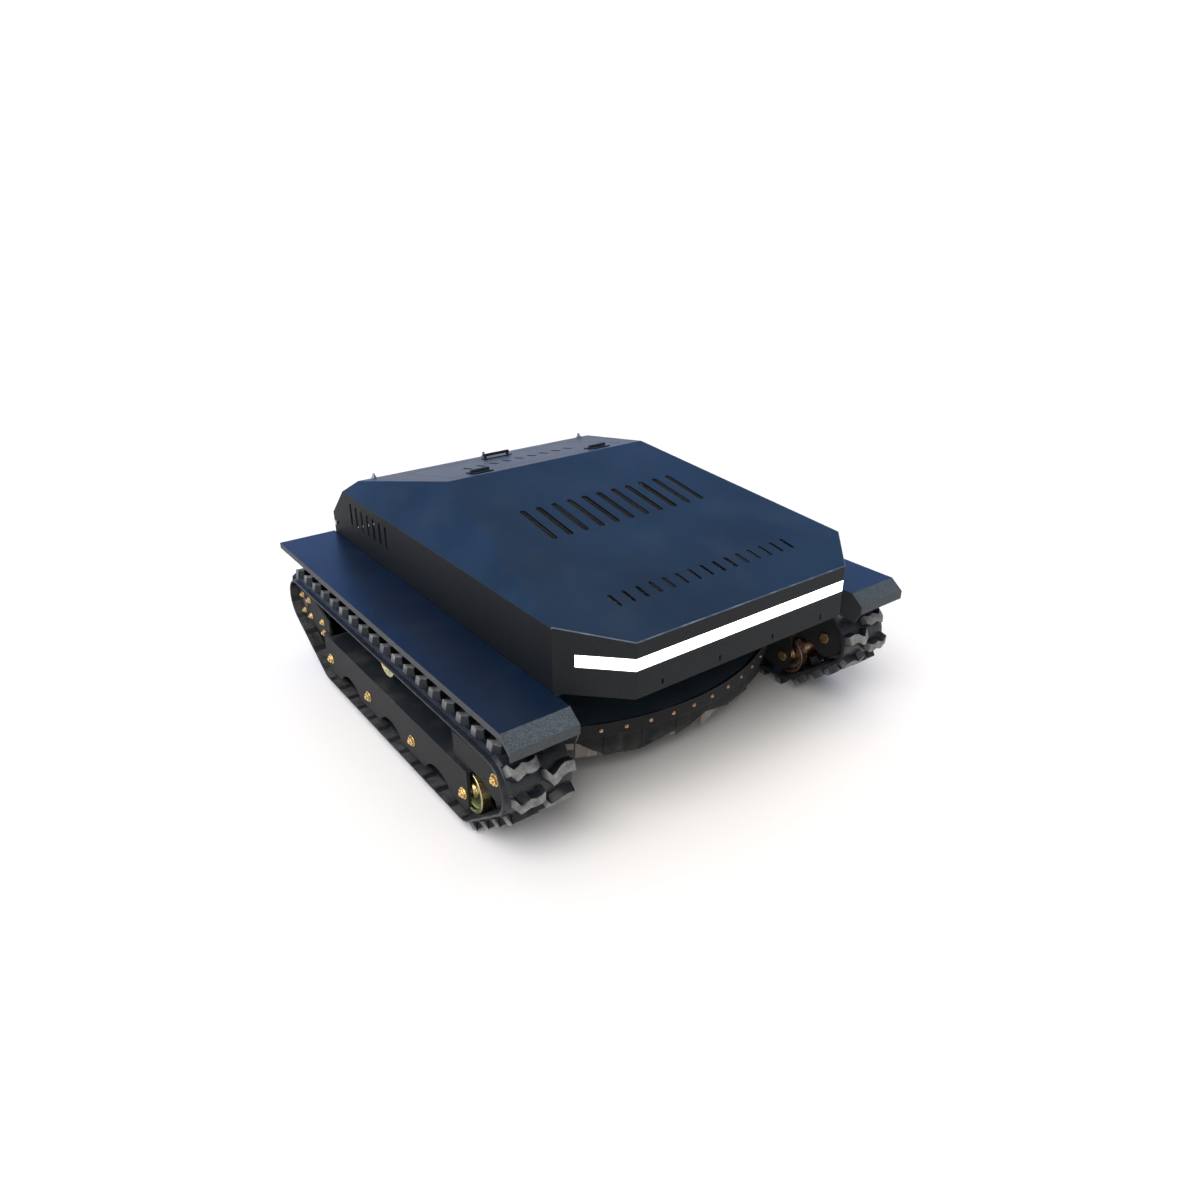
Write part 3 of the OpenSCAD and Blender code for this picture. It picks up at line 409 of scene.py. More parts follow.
def hood_form():
    """The hood as a folded sheet, open below, with rounded folds; the folds along the nose's top take the
    edge material, a painted highlight with some wear.
    """
    bm = bmesh.new()
    bmesh.ops.create_cube(bm, size=4)
    for point, normal in hood_planes():
        every = bm.verts[:] + bm.edges[:] + bm.faces[:]
        cut = bmesh.ops.bisect_plane(bm, geom=every, plane_co=point, plane_no=normal, clear_outer=True)
        bmesh.ops.edgeloop_fill(bm, edges=[e for e in cut["geom_cut"] if isinstance(e, bmesh.types.BMEdge)])
    bmesh.ops.delete(bm, geom=[f for f in bm.faces if f.calc_center_median().z < BOTTOM_Z + 0.0001],
                     context="FACES_ONLY")
    folds = [e for e in bm.edges if len(e.link_faces) == 2]
    made = bmesh.ops.bevel(bm, geom=folds, offset=FOLD_RADIUS, segments=3, profile=0.5, affect="EDGES",
                           clamp_overlap=True)
    # Folds along the nose's top take the edge material, a painted highlight for that edge catching the sky,
    # with some wear.
    for face in made["faces"]:
        middle = face.calc_center_median()
        face.material_index = int(middle.y < CHAMFER_Y + 0.005 and middle.z > LIGHT_Z[1] + 0.02)
    bmesh.ops.recalc_face_normals(bm, faces=bm.faces)
    return bm


def front_band(bm, start, z0, z1, d0, d1):
    """A band that follows the nose and both corners, between two depths behind the surface."""
    run = Vector((NOSE_HALF - HOOD_HALF, FRONT_Y - CHAMFER_Y))
    inward = Vector((run.y, -run.x)).normalized()

    def half(d):
        end = Vector((HOOD_HALF, CHAMFER_Y)) + run * start + inward * d
        corner_x = NOSE_HALF - d * abs(math.tan((math.pi / 2 - abs(math.atan2(run.x, -run.y))) / 2))
        return [end, Vector((corner_x, FRONT_Y + d))]

    outline = []
    for d, order in ((d0, 1), (d1, -1)):
        right = half(d)
        line = right + [Vector((-p.x, p.y)) for p in right[::-1]]
        outline += line[::order]
    prism(bm, [(p.x, p.y, z0) for p in outline], (0, 0, z1 - z0))


def roof_slots(bm, slope, y, count, pitch, length, width):
    place = on_slope(slope, y)
    deep = place(0, 0, 0.02) - place(0, 0, -0.02)
    for i in range(count):
        x = (i - (count - 1) / 2) * pitch
        prism(bm, slot_outline(length, width, lambda a, b: place(x + a, b, -0.02)), deep)


def hood_cutters():
    bm = bmesh.new()
    roof_slots(bm, ROOF, *ROOF_VENTS)
    roof_slots(bm, ROOF, *NOSE_VENTS)
    for side in SIDES.values():
        inside = side * (HOOD_HALF - 0.012)
        for i in range(SIDE_VENT_COUNT):
            y = SIDE_VENT_Y + (i - (SIDE_VENT_COUNT - 1) / 2) * SIDE_VENT_PITCH
            outline = slot_outline(*SIDE_VENT_SIZE, lambda a, b: Vector((inside, y + a, SIDE_VENT_Z + b)))
            prism(bm, outline, (side * 0.03, 0, 0))
    for x in DRAIN_XS:
        outline = slot_outline(*DRAIN_SIZE, lambda a, b: Vector((x + a, FRONT_Y - 0.01, DRAIN_Z + b)))
        prism(bm, outline, (0, 0.02, 0))
    front_band(bm, LIGHT_START, LIGHT_Z[0] - LIGHT_GAP, LIGHT_Z[1] + LIGHT_GAP, -0.006, 0.010)
    place = on_slope(REAR_ROOF, LID_Y)
    half, end = LID_HALF + LID_GAP, LID_LENGTH + LID_GAP
    corners = ((-half, -LID_GAP), (half, -LID_GAP), (half, end), (-half, end))
    prism(bm, [place(x, u, -0.012) for x, u in corners], place(0, 0, 0.02) - place(0, 0, -0.005))
    place = on_slope(TAIL, ESTOP_Y)
    turns = [2 * math.pi * i / 40 for i in range(40)]
    prism(bm, [place(ESTOP_HOLE_R * math.cos(a), ESTOP_HOLE_R * math.sin(a), -0.01) for a in turns],
          place(0, 0, 0.01) - place(0, 0, -0.01))
    bmesh.ops.recalc_face_normals(bm, faces=bm.faces)
    return bm


def lid_frame(bm):
    """The folded lip under the lid's edge that carries its seal."""
    place = on_slope(REAR_ROOF, LID_Y)
    down = place(0, 0, -0.003) - place(0, 0)
    wide, long = LID_HALF + 0.010, LID_LENGTH + 0.010
    inner_wide, inner_long = LID_HALF - 0.012, LID_LENGTH - 0.012
    rings = [[(-wide, -0.010), (wide, -0.010), (wide, long), (-wide, long)],
             [(-inner_wide, 0.012), (inner_wide, 0.012), (inner_wide, inner_long), (-inner_wide, inner_long)]]
    for i in range(4):
        j = (i + 1) % 4
        corners = [rings[0][i], rings[0][j], rings[1][j], rings[1][i]]
        prism(bm, [place(x, u, -0.0051) for x, u in corners], down)


def build_hood():
    hood = new_piece("hood", hood_form(), "root", "hood_paint", hood_paint, hood_edge_highlight_and_wear)
    thick = hood.modifiers.new("sheet", "SOLIDIFY")
    thick.thickness, thick.offset, thick.use_even_offset = SHEET, -1, True
    cutter = new_piece("hood_cutters", hood_cutters(), "root", "hood_paint")
    cut = hood.modifiers.new("cut", "BOOLEAN")
    cut.operation, cut.solver, cut.object = "DIFFERENCE", "EXACT", cutter
    evaluated(hood)
    bpy.data.objects.remove(cutter)
    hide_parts("hood_shell")
    lip = bmesh.new()
    lid_frame(lip)
    new_piece("lid_frame", lip, "root", "hood_paint", hood_paint)


def side_wall(side):
    """A place function on one of the hood's side walls, like the one on_slope gives."""
    return lambda x, u, h: Vector((side * (HOOD_HALF + h), SIDE_VENT_Y + x, SIDE_VENT_Z + u))


def build_screens():
    """Woven wire behind every group of vents."""
    for name, place, wide, long in (("roof_screen", on_slope(ROOF, ROOF_VENTS[0]), 0.25, 0.09),
                                    ("nose_screen", on_slope(ROOF, NOSE_VENTS[0]), 0.272, 0.034),
                                    ("left_screen", side_wall(SIDES["left"]), 0.126, 0.038),
                                    ("right_screen", side_wall(SIDES["right"]), 0.126, 0.038)):
        columns, rows = round(2 * wide / SCREEN_PITCH), round(2 * long / SCREEN_PITCH)
        bm = bmesh.new()
        grid = []
        for j in range(rows + 1):
            row = []
            for i in range(columns + 1):
                depth = SCREEN_WEAVE * (-1) ** (i + j) - SCREEN_DEPTH
                row.append(bm.verts.new(place(-wide + i * SCREEN_PITCH, -long + j * SCREEN_PITCH, depth)))
            grid.append(row)
        for j in range(rows):
            for i in range(columns):
                bm.faces.new((grid[j][i], grid[j][i + 1], grid[j + 1][i + 1], grid[j + 1][i]))
        screen = new_piece(name, bm, "root", "vent_mesh", mesh_paint)
        wire = screen.modifiers.new("wire", "WIREFRAME")
        wire.thickness, wire.use_replace = SCREEN_WIRE, True
        if name == "roof_screen":
            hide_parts("vent_screens")


# ---------- Tracks ----------

BELT_X, BELT_T, LUG_H, HORN_H = 0.491, 0.012, 0.020, 0.022
# How far the belt reaches from its middle: inwards, to the ends of the outer lugs, and to its thin outer edge
INNER_REACH, LUG_REACH, EDGE_REACH = 0.075, 0.067, 0.083
DRIVE_R, WHEEL_R = 0.061, 0.055
AXLE_Z, WHEEL_Z = 0.192, 0.087
LUG_COUNT = 42
# Where the first lug and the first horn start along the run, and how far the horns stand from the middle
LUG_START, HORN_START, HORN_X = 0.0135, 0.012, 0.024
# The belt's mesh: steps from lug to lug, those that carry an inner rib, and those of the groove outside
LUG_STEPS, RIB_STEPS, GROOVE_STEPS = 22, range(1, 16, 2), range(11, 18)
# Height of the inner ribs and how much paler they are painted, a painted highlight that makes them show.
RIB_H, RIB_HIGHLIGHT = 0.0014, 0.34


class Run:
    """The belt's closed path: points at a distance s along its outer face and a height g over the inner."""

    def __init__(self):
        rear, drive = Vector((0.345, WHEEL_Z)), Vector((0.510, AXLE_Z))
        idler, front = Vector((-0.500, AXLE_Z)), Vector((-0.375, WHEEL_Z))
        up, down = drive - rear, front - idler
        taper = DRIVE_R - WHEEL_R
        rise = math.atan2(up.y, up.x) - math.acos(-taper / up.length)
        fall = 2 * math.pi + math.atan2(down.y, down.x) - math.acos(taper / down.length)
        quarter = math.pi / 2
        self.parts = []
        self.length = 0.0
        self.arc(rear, WHEEL_R, -quarter, rise)
        self.line(rear, WHEEL_R, rise, math.sqrt(up.length_squared - taper * taper))
        self.arc(drive, DRIVE_R, rise, quarter)
        self.line(drive, DRIVE_R, quarter, drive.x - idler.x)
        self.arc(idler, DRIVE_R, quarter, fall)
        self.line(idler, DRIVE_R, fall, math.sqrt(down.length_squared - taper * taper))
        self.arc(front, WHEEL_R, fall, 3 * quarter)
        self.line(front, WHEEL_R, 3 * quarter, rear.x - front.x)
        self.pitch = self.length / LUG_COUNT

    def arc(self, centre, radius, a0, a1):
        self.add((radius + BELT_T) * (a1 - a0), centre, radius, a0, True)

    def line(self, centre, radius, angle, length):
        self.add(length, centre, radius, angle, False)

    def add(self, length, centre, radius, angle, turns):
        self.parts.append((self.length, length, centre, radius, angle, turns))
        self.length += length

    def at(self, s, g):
        """The point (y, z) at s and g."""
        s %= self.length
        start, _, centre, radius, angle, turns = max(
            (p for p in self.parts if p[0] <= s), key=lambda p: p[0])
        if turns:
            angle += (s - start) / (radius + BELT_T)
            start = s
        out = Vector((math.cos(angle), math.sin(angle)))
        return centre + out * (radius + g) + Vector((-out.y, out.x)) * (s - start)


RUN = Run()


# How pale the rubber is at each point: wear, and a painted highlight on the inner ribs.
def wear_and_highlight_layer(bm):
    return bm.verts.layers.float.get("wear_and_highlight") or bm.verts.layers.float.new("wear_and_highlight")


# worn is how pale the rubber is painted there: wear, and on the inner ribs a painted highlight.
def add_vert(bm, wear_and_highlight, side, x, s, g, worn=0.0):
    y, z = RUN.at(s, g)
    vert = bm.verts.new((side * (BELT_X + x), y, z))
    vert[wear_and_highlight] = worn
    return vert


def skin(bm, rings, closed):
    """Faces between neighbouring rings of the same number of points; closed joins the last to the first."""
    count = len(rings[0])
    pairs = zip(rings, rings[1:] + rings[:1]) if closed else zip(rings, rings[1:])
    for a, b in pairs:
        for i in range(count):
            j = (i + 1) % count
            bm.faces.new((a[i], a[j], b[j], b[i]))
    if not closed:
        bm.faces.new(rings[0][::-1])
        bm.faces.new(rings[-1])


def belt_section(rib, recess):
    """The belt's section as (x, g), x growing outwards: a thick grooved middle and a thin outer edge."""
    top = BELT_T - 0.0035 * recess
    outer = [(-INNER_REACH + 0.004, BELT_T), (0.001, BELT_T), (0.0025, top), (0.0155, top), (0.017, BELT_T),
             (LUG_REACH - 0.002, BELT_T), (LUG_REACH + 0.002, 0.0085), (LUG_REACH + 0.005, 0.0062)]
    edge = [(EDGE_REACH - 0.002, 0.0056), (EDGE_REACH, 0.0040), (EDGE_REACH, 0.0016 + rib)]
    inner = [(EDGE_REACH - 0.001, 0.0002 + rib), (0.052, 0.0002 + rib), (0.050, 0.0002), (0.0165, 0.0002),
             (0.015, 0.005), (-0.015, 0.005), (-0.0165, 0.0002), (-INNER_REACH + 0.002, 0.0002)]
    return outer + edge + inner + [(-INNER_REACH, 0.003), (-INNER_REACH, 0.0105)]


def add_carcass(bm, wear_and_highlight, side):
    """The belt itself, with groups of fine ribs across the inside of its outer edge, painted paler as a
    painted highlight so that they show.
    """
    steps = LUG_COUNT * LUG_STEPS
    rings = []
    for k in range(steps):
        place = k % LUG_STEPS
        rib = RIB_H if place in RIB_STEPS else 0.0
        recess = 1.0 if place in GROOVE_STEPS else 0.0
        worn = 0.06 + 0.10 * noise.noise(Vector((k * 0.05, side * 3, 0)))
        rings.append([add_vert(bm, wear_and_highlight, side, x, k * RUN.length / steps, g,
                               worn + (RIB_HIGHLIGHT if rib and x > 0.05 and g < 0.003 else 0.0))
                      for x, g in belt_section(rib, recess)])
    skin(bm, rings, True)


# The crooked centre line of a lug on each half of the belt, as (x, shift along the run), outer end first
OUTER_LUG = ((0.0700, -0.0045), (0.0655, -0.0050), (0.0560, 0.0060), (0.0470, 0.0040), (0.0350, 0.0000),
             (0.0230, 0.0030), (0.0100, 0.0020), (0.0020, -0.0020), (-0.0005, -0.0020))
INNER_LUG = ((-0.0035, -0.0060), (-0.0065, -0.0065), (-0.0180, 0.0070), (-0.0270, 0.0050), (-0.0390, -0.0020),
             (-0.0520, -0.0050), (-0.0640, -0.0040), (-0.0715, -0.0030), (-0.0735, -0.0030))
# Half the lug's length, its height as a share and its wear at each turn of its outline, base to tip
LUG_SIDES = ((0.0150, 0.0, 0.0), (0.0124, 0.22, 0.0), (0.0098, 0.90, 0.03), (0.0088, 0.985, 0.6),
             (0.0080, 1.0, 1.0))


def add_lug(bm, wear_and_highlight, side, line, s):
    """One ground lug, bent along the belt's run, with sloped ends and a pale worn tip."""
    rings = []
    last = len(line) - 1
    for n, (x, shift) in enumerate(line):
        end = n in (0, last)
        ring = []
        for mirror in (-1, 1):
            for reach, rise, worn in LUG_SIDES[::-mirror]:
                if end:
                    rise, worn = 0.15 * rise, 0.25 * worn
                scuff = 0.3 * noise.noise(Vector((s * 40, x * 60, side * 5 + rise)))
                g = BELT_T - 0.001 + (LUG_H + 0.001) * rise
                ring.append(add_vert(bm, wear_and_highlight, side, x, s + shift + mirror * reach, g,
                                     max(0.0, worn + scuff * worn)))
        rings.append(ring)
    skin(bm, rings, False)


def add_horn(bm, wear_and_highlight, side, x, s):
    """One guide horn inside the belt: a steel-cored tooth with a rounded top."""
    rings = []
    for dx, lower in ((-0.006, 0.004), (-0.0045, 0.0), (0.0045, 0.0), (0.006, 0.004)):
        ring = []
        for reach, rise in ((-0.012, -0.001), (-0.0105, 0.35), (-0.007, 0.9), (-0.0045, 1.0),
                            (0.0045, 1.0), (0.007, 0.9), (0.0105, 0.35), (0.012, -0.001)):
            g = -rise * (HORN_H - (lower if rise > 0.5 else 0.0))
            ring.append(add_vert(bm, wear_and_highlight, side, x + dx, s + reach, g, 0.45 * max(0.0, rise)))
        rings.append(ring)
    skin(bm, rings, False)


def build_belt(name, side):
    bm = bmesh.new()
    wear_and_highlight = wear_and_highlight_layer(bm)
    add_carcass(bm, wear_and_highlight, side)
    for k in range(LUG_COUNT):
        s = k * RUN.pitch
        add_lug(bm, wear_and_highlight, side, INNER_LUG, s + LUG_START)
        add_lug(bm, wear_and_highlight, side, OUTER_LUG, s + RUN.pitch / 2 + LUG_START)
        for x in (-HORN_X, HORN_X):
            add_horn(bm, wear_and_highlight, side, x, s + RUN.pitch * 0.2 + HORN_START)
    bmesh.ops.recalc_face_normals(bm, faces=bm.faces)
    belt = new_piece(f"{name}_belt", bm, "root", "track_rubber", tread)
    smooth(belt, 24)
    rounded(belt, 0.0006, 1, degrees=40)
    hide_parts(f"{name}_track_belt", f"{name}_belt_lugs")


# ---------- Deck skirt ----------

ARC_R, ARC_Y, DECK_MIDDLE_Y = 0.645, 0.177, -0.070
FLAP_SPAN = math.radians(75 / 9)
FLAP_TOP = 0.156
# Each layer's outer radius, its thickness and how far its lower edge leans inwards
OUTER_LAYER, INNER_LAYER = (ARC_R + 0.0043, 0.004, -0.002), (ARC_R - 0.0048, 0.003, -0.003)
FLAP_GAP = 0.0010


def arc_point(radius, angle, z, rear):
    """A point on the deck's front arc at an angle from straight ahead, or on the rear arc."""
    y = ARC_Y - radius * math.cos(angle)
    return Vector((radius * math.sin(angle), 2 * DECK_MIDDLE_Y - y if rear else y, z))


def flap(bm, layer, a0, a1, rear, hem):
    """One hanging flap of rubber; hem(t) is its lower edge's height at t from 0 to 1 along it."""
    radius, thick, tilt = layer
    across, down = 14, 5
    for j in range(across):
        angles = [a0 + (a1 - a0) * t / across for t in (j, j + 1)]
        hems = [hem(t / across) for t in (j, j + 1)]
        for i in range(down):
            corners = []
            for inner in (0, 1):
                r = radius - thick * inner
                for n in (0, 1):
                    for k in (i, i + 1):
                        share = k / down
                        z = FLAP_TOP + (hems[n] - FLAP_TOP) * share
                        swell = tilt * share * share
                        corners.append(arc_point(r + swell, angles[n], z, rear))
            cell_faces(bm, corners, first=j == 0, last=j == across - 1, top=i == 0, bottom=i == down - 1)


def cell_faces(bm, corners, first, last, top, bottom):
    """The outside faces of one brick of a flap; corners run outer, inner, then start, end, then up, down."""
    v = [bm.verts.new(c) for c in corners]
    bm.faces.new((v[0], v[1], v[3], v[2]))
    bm.faces.new((v[4], v[6], v[7], v[5]))
    if first:
        bm.faces.new((v[0], v[4], v[5], v[1]))
    if last:
        bm.faces.new((v[2], v[3], v[7], v[6]))
    if top:
        bm.faces.new((v[0], v[2], v[6], v[4]))
    if bottom:
        bm.faces.new((v[1], v[5], v[7], v[3]))


def ragged(seed, start, end):
    """A worn lower edge between two heights: a slow wave and small nibbles."""
    def hem(t):
        wave = 0.003 * noise.noise(Vector((t * 2.1, seed * 3.7, 0)))
        nibble = 0.0016 * noise.noise(Vector((t * 15, seed * 1.3, 2)))
        return start + (end - start) * t + wave + nibble
    return hem


# Heights of each front flap's two lower corners, from the machine's right
OUTER_HEMS = ((0.078, 0.075), (0.132, 0.076), (0.070, 0.067), (0.068, 0.088), (0.074, 0.100),
              (0.102, 0.082), (0.084, 0.078), (0.086, 0.080), (0.100, 0.092))
# The same two heights for the rear's flaps, which are all alike
REAR_OUTER_HEM, REAR_INNER_HEM = (0.072, 0.070), (0.080, 0.078)
# The inner layer in front: where each flap starts and ends in degrees from straight ahead, its two heights
INNER_FLAPS = ((-35, -26.7, 0.090, 0.090), (-26.4, -21.8, 0.068, 0.065), (-21.5, -12.9, 0.066, 0.078),
               (-12.5, -3.5, 0.080, 0.069), (-3.1, 3.1, 0.072, 0.094), (4.0, 10.4, 0.055, 0.086),
               (10.8, 20.2, 0.090, 0.088), (20.6, 29.0, 0.092, 0.090), (29.4, 35.0, 0.100, 0.104))


def build_skirt():
    """Two layers of flaps, so that the pale inner one shows under the outer one's uneven edge."""
    outer, inner = bmesh.new(), bmesh.new()
    first = -FLAP_SPAN * 4.5
    for rear in (False, True):
        for i, (start, end) in enumerate(OUTER_HEMS):
            if rear:
                start, end = REAR_OUTER_HEM
            a = first + i * FLAP_SPAN
            flap(outer, OUTER_LAYER, a + FLAP_GAP, a + FLAP_SPAN - FLAP_GAP, rear,
                 ragged(i + 20 * rear, start, end))
        for i, (a0, a1, start, end) in enumerate(INNER_FLAPS):
            if rear:
                start, end = REAR_INNER_HEM
            flap(inner, INNER_LAYER, math.radians(a0), math.radians(a1), rear,
                 ragged(i + 50 + 20 * rear, start, end))
    for bm, name, material in ((outer, "skirt_outer_flaps", skirt_outer),
                               (inner, "skirt_inner_flaps", skirt_inner)):
        bmesh.ops.remove_doubles(bm, verts=bm.verts, dist=0.00002)
        bmesh.ops.recalc_face_normals(bm, faces=bm.faces)
        layer = new_piece(name, bm, "deck", "skirt_rubber", material)
        smooth(layer, 40)
        rounded(layer, 0.0006, 1, degrees=50)
        if material is skirt_outer:
            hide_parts("deck_skirt")


# ---------- Fasteners ----------

def turned(bm, base, axis, profile, sides, spin=0.0):
    """A closed body of revolution with few or many sides: profile is (distance along axis, radius) pairs."""
    axis = Vector(axis).normalized()
    across = axis.orthogonal().normalized()
    if abs(axis.z) < 0.5:
        across = axis.cross(Vector((0, 0, 1))).normalized()
    other = axis.cross(across)
    rings = []
    for along, radius in profile:
        ring = []
        for i in range(sides):
            angle = spin + 2 * math.pi * i / sides
            out = across * math.cos(angle) + other * math.sin(angle)
            ring.append(bm.verts.new(Vector(base) + axis * along + out * radius))
        rings.append(ring)
    skin(bm, rings, False)


def nut_and_washer(bm, base, axis, radius, height, stud, proud, spin):
    """A washer, a hex nut with chamfered corners and the end of the bolt standing out of it."""
    turned(bm, base, axis, ((-0.0002, radius * 1.22), (0.0010, radius * 1.22), (0.0014, radius * 1.16)), 28)
    turned(bm, base, axis, ((0.0010, radius * 0.97), (0.0016, radius), (height * 0.82, radius),
                            (height, radius * 0.87)), 6, spin)
    turned(bm, base, axis, ((0.0, stud), (proud - 0.0008, stud), (proud, stud * 0.8)), 20)


ROAD_YS = (-0.375, -0.135, 0.105, 0.345)
IDLER, CARRIER = (-0.500, 0.192), (0.020, 0.215)
# Axle rods as (y, z, radius, inner end, outer end, face the nut sits on, nut's radius), ends from the middle
RODS = ([(y, WHEEL_Z, 0.010, 0.418, 0.563, 0.560, 0.0115) for y in ROAD_YS]
        + [(*IDLER, 0.010, 0.424, 0.556, 0.552, 0.0115), (*CARRIER, 0.008, 0.418, 0.541, 0.539, 0.0105)])
BRACKET_FACE = 0.552
BRACKET_BOLTS = ((0.484, 0.158), (0.484, 0.206), (0.532, 0.158), (0.532, 0.206), (0.396, 0.142),
                 (0.396, 0.174))


def build_track_bolts(name, side):
    bm = bmesh.new()
    for n, (y, z, radius, x0, x1, face, size) in enumerate(RODS):
        turned(bm, (side * x0, y, z), (side, 0, 0), ((0, radius), (x1 - x0, radius)), 32)
        nut_and_washer(bm, (side * face, y, z), (side, 0, 0), size, 0.0062, 0.0052, 0.0100, 0.4 + 1.7 * n)
        head = ((-0.0002, 0.013), (0.0002, 0.0145), (0.006, 0.0145))
        turned(bm, (side * x0, y, z), (side, 0, 0), head, 6, n)
    for n, (y, z) in enumerate(BRACKET_BOLTS):
        spin = 0.2 + 2.3 * n
        nut_and_washer(bm, (side * BRACKET_FACE, y, z), (side, 0, 0), 0.0078, 0.0050, 0.0040, 0.0085, spin)
    bmesh.ops.recalc_face_normals(bm, faces=bm.faces)
    bolts = new_piece(f"{name}_bolts", bm, "root", "brass_bolt", gold_bolt)
    smooth(bolts, 30)
    rounded(bolts, 0.0003, 1)
    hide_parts(f"{name}_track_bolts")


CLAMP_FACE_R, CLAMP_BOLT_Z, CLAMP_BOLT_STEP = 0.6536, 0.143, math.radians(5.35)


def build_deck_bolts():
    bm = bmesh.new()
    for rear in (False, True):
        for i in range(-5, 6):
            angle = i * CLAMP_BOLT_STEP
            base = arc_point(CLAMP_FACE_R, angle, CLAMP_BOLT_Z, rear)
            axis = arc_point(1, angle, 0, rear) - arc_point(0, angle, 0, rear)
            nut_and_washer(bm, base, axis, 0.0040, 0.0034, 0.0022, 0.0044, 0.3 + 1.9 * i)
    bmesh.ops.recalc_face_normals(bm, faces=bm.faces)
    bolts = new_piece("clamp_bolts", bm, "deck", "brass_bolt", rose_zinc)
    smooth(bolts, 30)
    rounded(bolts, 0.0002, 1)
    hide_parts("deck_bolts")


# ---------- CAD nodes ----------

def dress_nodes():
    """Every CAD node that stays gets its finish and rounded, worn edges."""
    for node in ("chassis_frame", "floor_pan", "light_housing", "rear_panel", "tow_hitch", "lid_hinge_base",
                 "lid_hinge_leaf", "lid_handle"):
        dress(node, black_paint, black_edge)
    dress("deck_shell", deck_paint, black_edge, width=0.0014)
    dress("deck_clamp_strip", black_paint, black_edge)
    dress("light_strip", diffuser, width=0.0012)
    dress("access_lid", hood_paint, fender_edge, width=0.0009)
    dress("lid_seal", black_plastic)
    dress("hood_screws", ground_steel, width=0.0005)
    dress("charge_port", black_plastic)
    dress("battery_packs", battery_case, width=0.004)
    dress("controller_box", cast_grey, width=0.0015)
    dress("lift_actuator", ground_steel)
    dress("estop_base", yellow_plastic, width=0.0015)
    dress("estop_button", red_plastic, width=0.003)
    dress("deck_lift_rods", ground_steel)
    dress("blade_motor", cast_grey, width=0.0015)
    dress("blade_spindle", ground_steel)
    dress("cutter_blade", ground_steel)
    for name in SIDES:
        dress(f"{name}_fender", fender_paint, fender_edge, width=0.0014)
        dress(f"{name}_side_frame", beam_paint, black_edge, width=0.0012)
        dress(f"{name}_drive_bracket", beam_paint, black_edge)
        dress(f"{name}_idler_arms", beam_paint, black_edge)
        dress(f"{name}_tensioner", ground_steel)
        dress(f"{name}_gearmotor", cast_grey, width=0.0015)
        dress(f"{name}_drive_sprocket", dark_steel, width=0.001)
        for wheel in ("front_idler", "carrier_roller", *[f"road_wheel_{i}" for i in range(1, 5)]):
            dress(f"{name}_{wheel}", yellow_zinc if name == "right" else rose_zinc, width=0.0016)


# ---------- Studio ----------

# Colours of the light by height, from the horizon at 0 to the zenith at 1
SKY_BANDS = ((0.00, colour(0.51, 0.51, 0.51)), (0.16, colour(0.51, 0.51, 0.51)),
             (0.22, colour(0.06, 0.24, 0.80)), (0.37, colour(0.04, 0.20, 0.66)),
             (0.50, colour(0.05, 0.08, 0.13)), (0.66, colour(0.09, 0.115, 0.15)),
             (0.82, colour(0.50, 0.465, 0.42)))
BACKGROUND, SKY_STRENGTH = colour(0.51, 0.51, 0.51), 2.0
SUN_POWER, SUN_COLOUR, SUN_SPREAD, SUN_FROM = 2.6, (1.0, 0.98, 0.95), 50, (-0.75, -0.35, 1.0)
# The camera: its lens and sensor in mm, its place, and how far it looks down and turns right, in degrees
LENS, SENSOR = 26.709, 36.0
CAMERA_AT, LOOKS_DOWN, TURNS_RIGHT = (-1.2436, -1.7589, 1.2682), 25.692, 37.056


def build_floor():
    bm = bmesh.new()
    bmesh.ops.create_grid(bm, x_segments=1, y_segments=1, size=300)
    mesh = bpy.data.meshes.new("floor")
    bm.to_mesh(mesh)
    bm.free()
    floor = bpy.data.objects.new("floor", mesh)
    bpy.context.scene.collection.objects.link(floor)
    k = Look("floor_paint")
    mesh.materials.append(k.done(
        Base_Color=k.mix(k.noise(2, 3), colour(0.92, 0.90, 0.88), colour(0.94, 0.92, 0.90)),
        Roughness=k.span(k.noise(30, 3), 0.3, 0.7, 0.75, 0.85)))


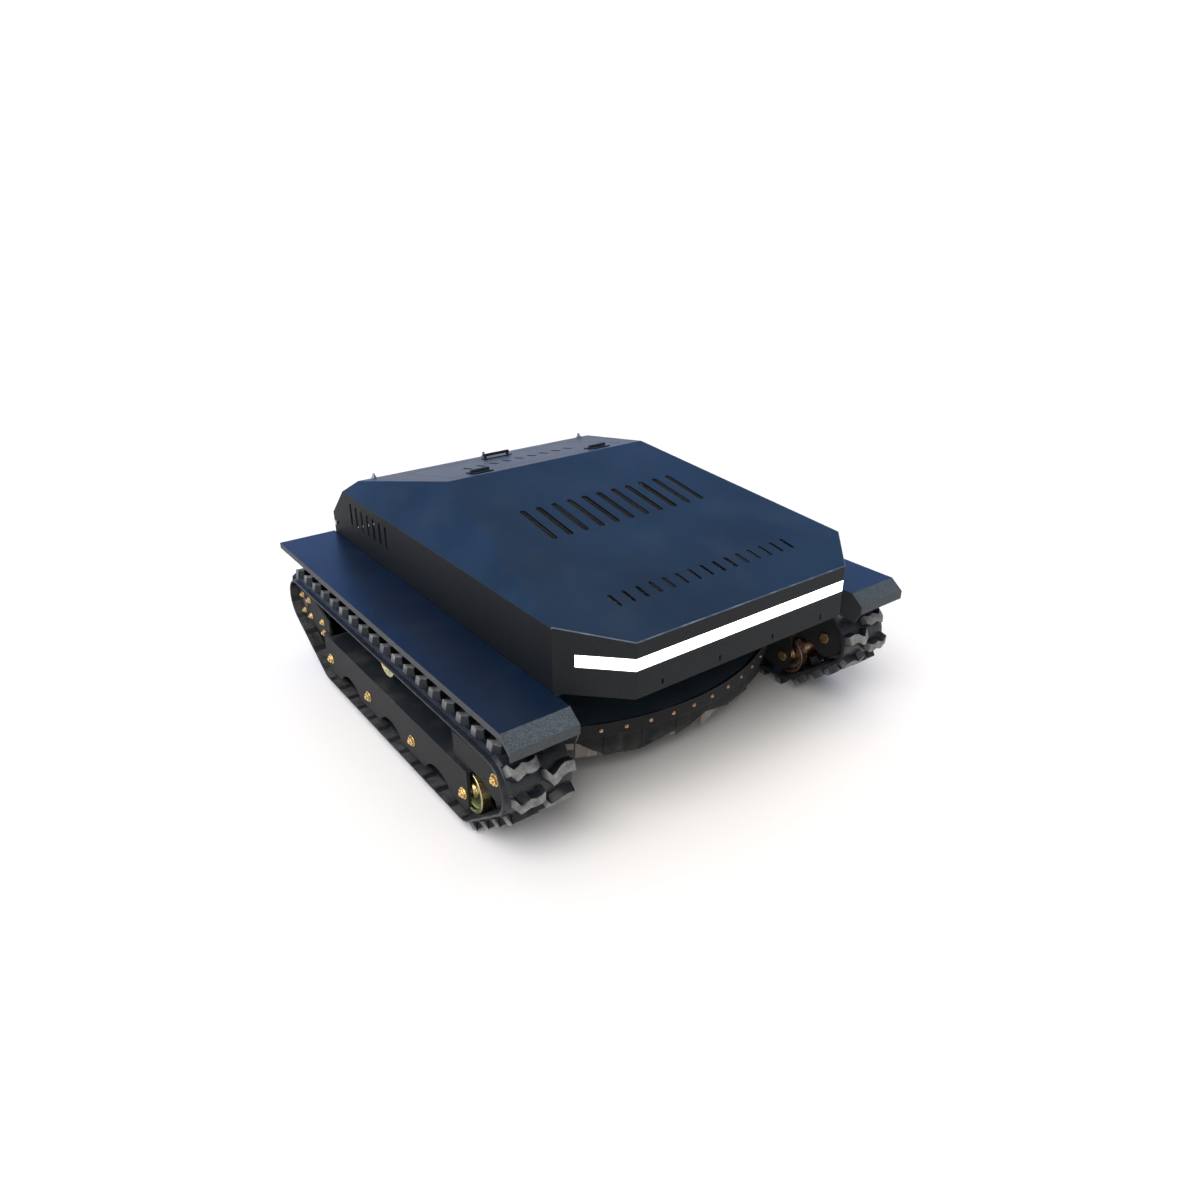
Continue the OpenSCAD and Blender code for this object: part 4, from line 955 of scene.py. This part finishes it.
def build_sky():
    """The light around the machine, by height: a pale horizon, clear blue behind it and a bright zenith.

    In front of the machine the same heights are grey. The background itself is plain white."""
    world = bpy.data.worlds.new("studio")
    world.use_nodes = True
    tree = world.node_tree

    def blend(amount, a, b):
        node = tree.nodes.new("ShaderNodeMix")
        node.data_type = "RGBA"
        for name, source in (("Factor", amount), ("A", a), ("B", b)):
            if isinstance(source, bpy.types.NodeSocket):
                tree.links.new(source, node.inputs[name])
            else:
                node.inputs[name].default_value = source
        return node.outputs["Result"]

    direction = tree.nodes.new("ShaderNodeTexCoord")
    parts = tree.nodes.new("ShaderNodeSeparateXYZ")
    tree.links.new(direction.outputs["Generated"], parts.inputs[0])
    bands = tree.nodes.new("ShaderNodeValToRGB")
    tree.links.new(parts.outputs["Z"], bands.inputs["Fac"])
    stops = bands.color_ramp.elements
    for i, (place, tint) in enumerate(SKY_BANDS):
        stop = stops[i] if i < 2 else stops.new(place)
        stop.position, stop.color = place, tint
    grey = tree.nodes.new("ShaderNodeRGBToBW")
    tree.links.new(bands.outputs["Color"], grey.inputs["Color"])
    behind = tree.nodes.new("ShaderNodeMapRange")
    behind.inputs["From Min"].default_value, behind.inputs["From Max"].default_value = -0.35, 0.15
    tree.links.new(parts.outputs["Y"], behind.inputs["Value"])
    light = blend(behind.outputs["Result"], grey.outputs["Val"], bands.outputs["Color"])
    background = tree.nodes.new("ShaderNodeLightPath").outputs["Is Camera Ray"]
    shader = tree.nodes["Background"]
    tree.links.new(blend(background, light, BACKGROUND), shader.inputs["Color"])
    shader.inputs["Strength"].default_value = SKY_STRENGTH
    bpy.context.scene.world = world


def build_studio():
    build_floor()
    build_sky()
    sun = bpy.data.lights.new("sun", "SUN")
    sun.energy, sun.color, sun.angle = SUN_POWER, SUN_COLOUR, math.radians(SUN_SPREAD)
    lamp = bpy.data.objects.new("sun", sun)
    lamp.rotation_euler = Vector(SUN_FROM).to_track_quat("Z", "Y").to_euler()
    bpy.context.scene.collection.objects.link(lamp)
    bpy.context.scene.view_settings.view_transform = "Standard"


def build_camera():
    lens = bpy.data.cameras.new("camera")
    lens.lens, lens.sensor_width = LENS, SENSOR
    camera = bpy.data.objects.new("camera", lens)
    camera.location = CAMERA_AT
    camera.rotation_euler = (math.radians(90 - LOOKS_DOWN), 0, math.radians(-TURNS_RIGHT))
    bpy.context.scene.collection.objects.link(camera)
    bpy.context.scene.camera = camera


build_camera()
build_studio()
dress_nodes()
build_hood()
build_screens()
for side_name, side_sign in SIDES.items():
    build_belt(side_name, side_sign)
    build_track_bolts(side_name, side_sign)
build_skirt()
build_deck_bolts()
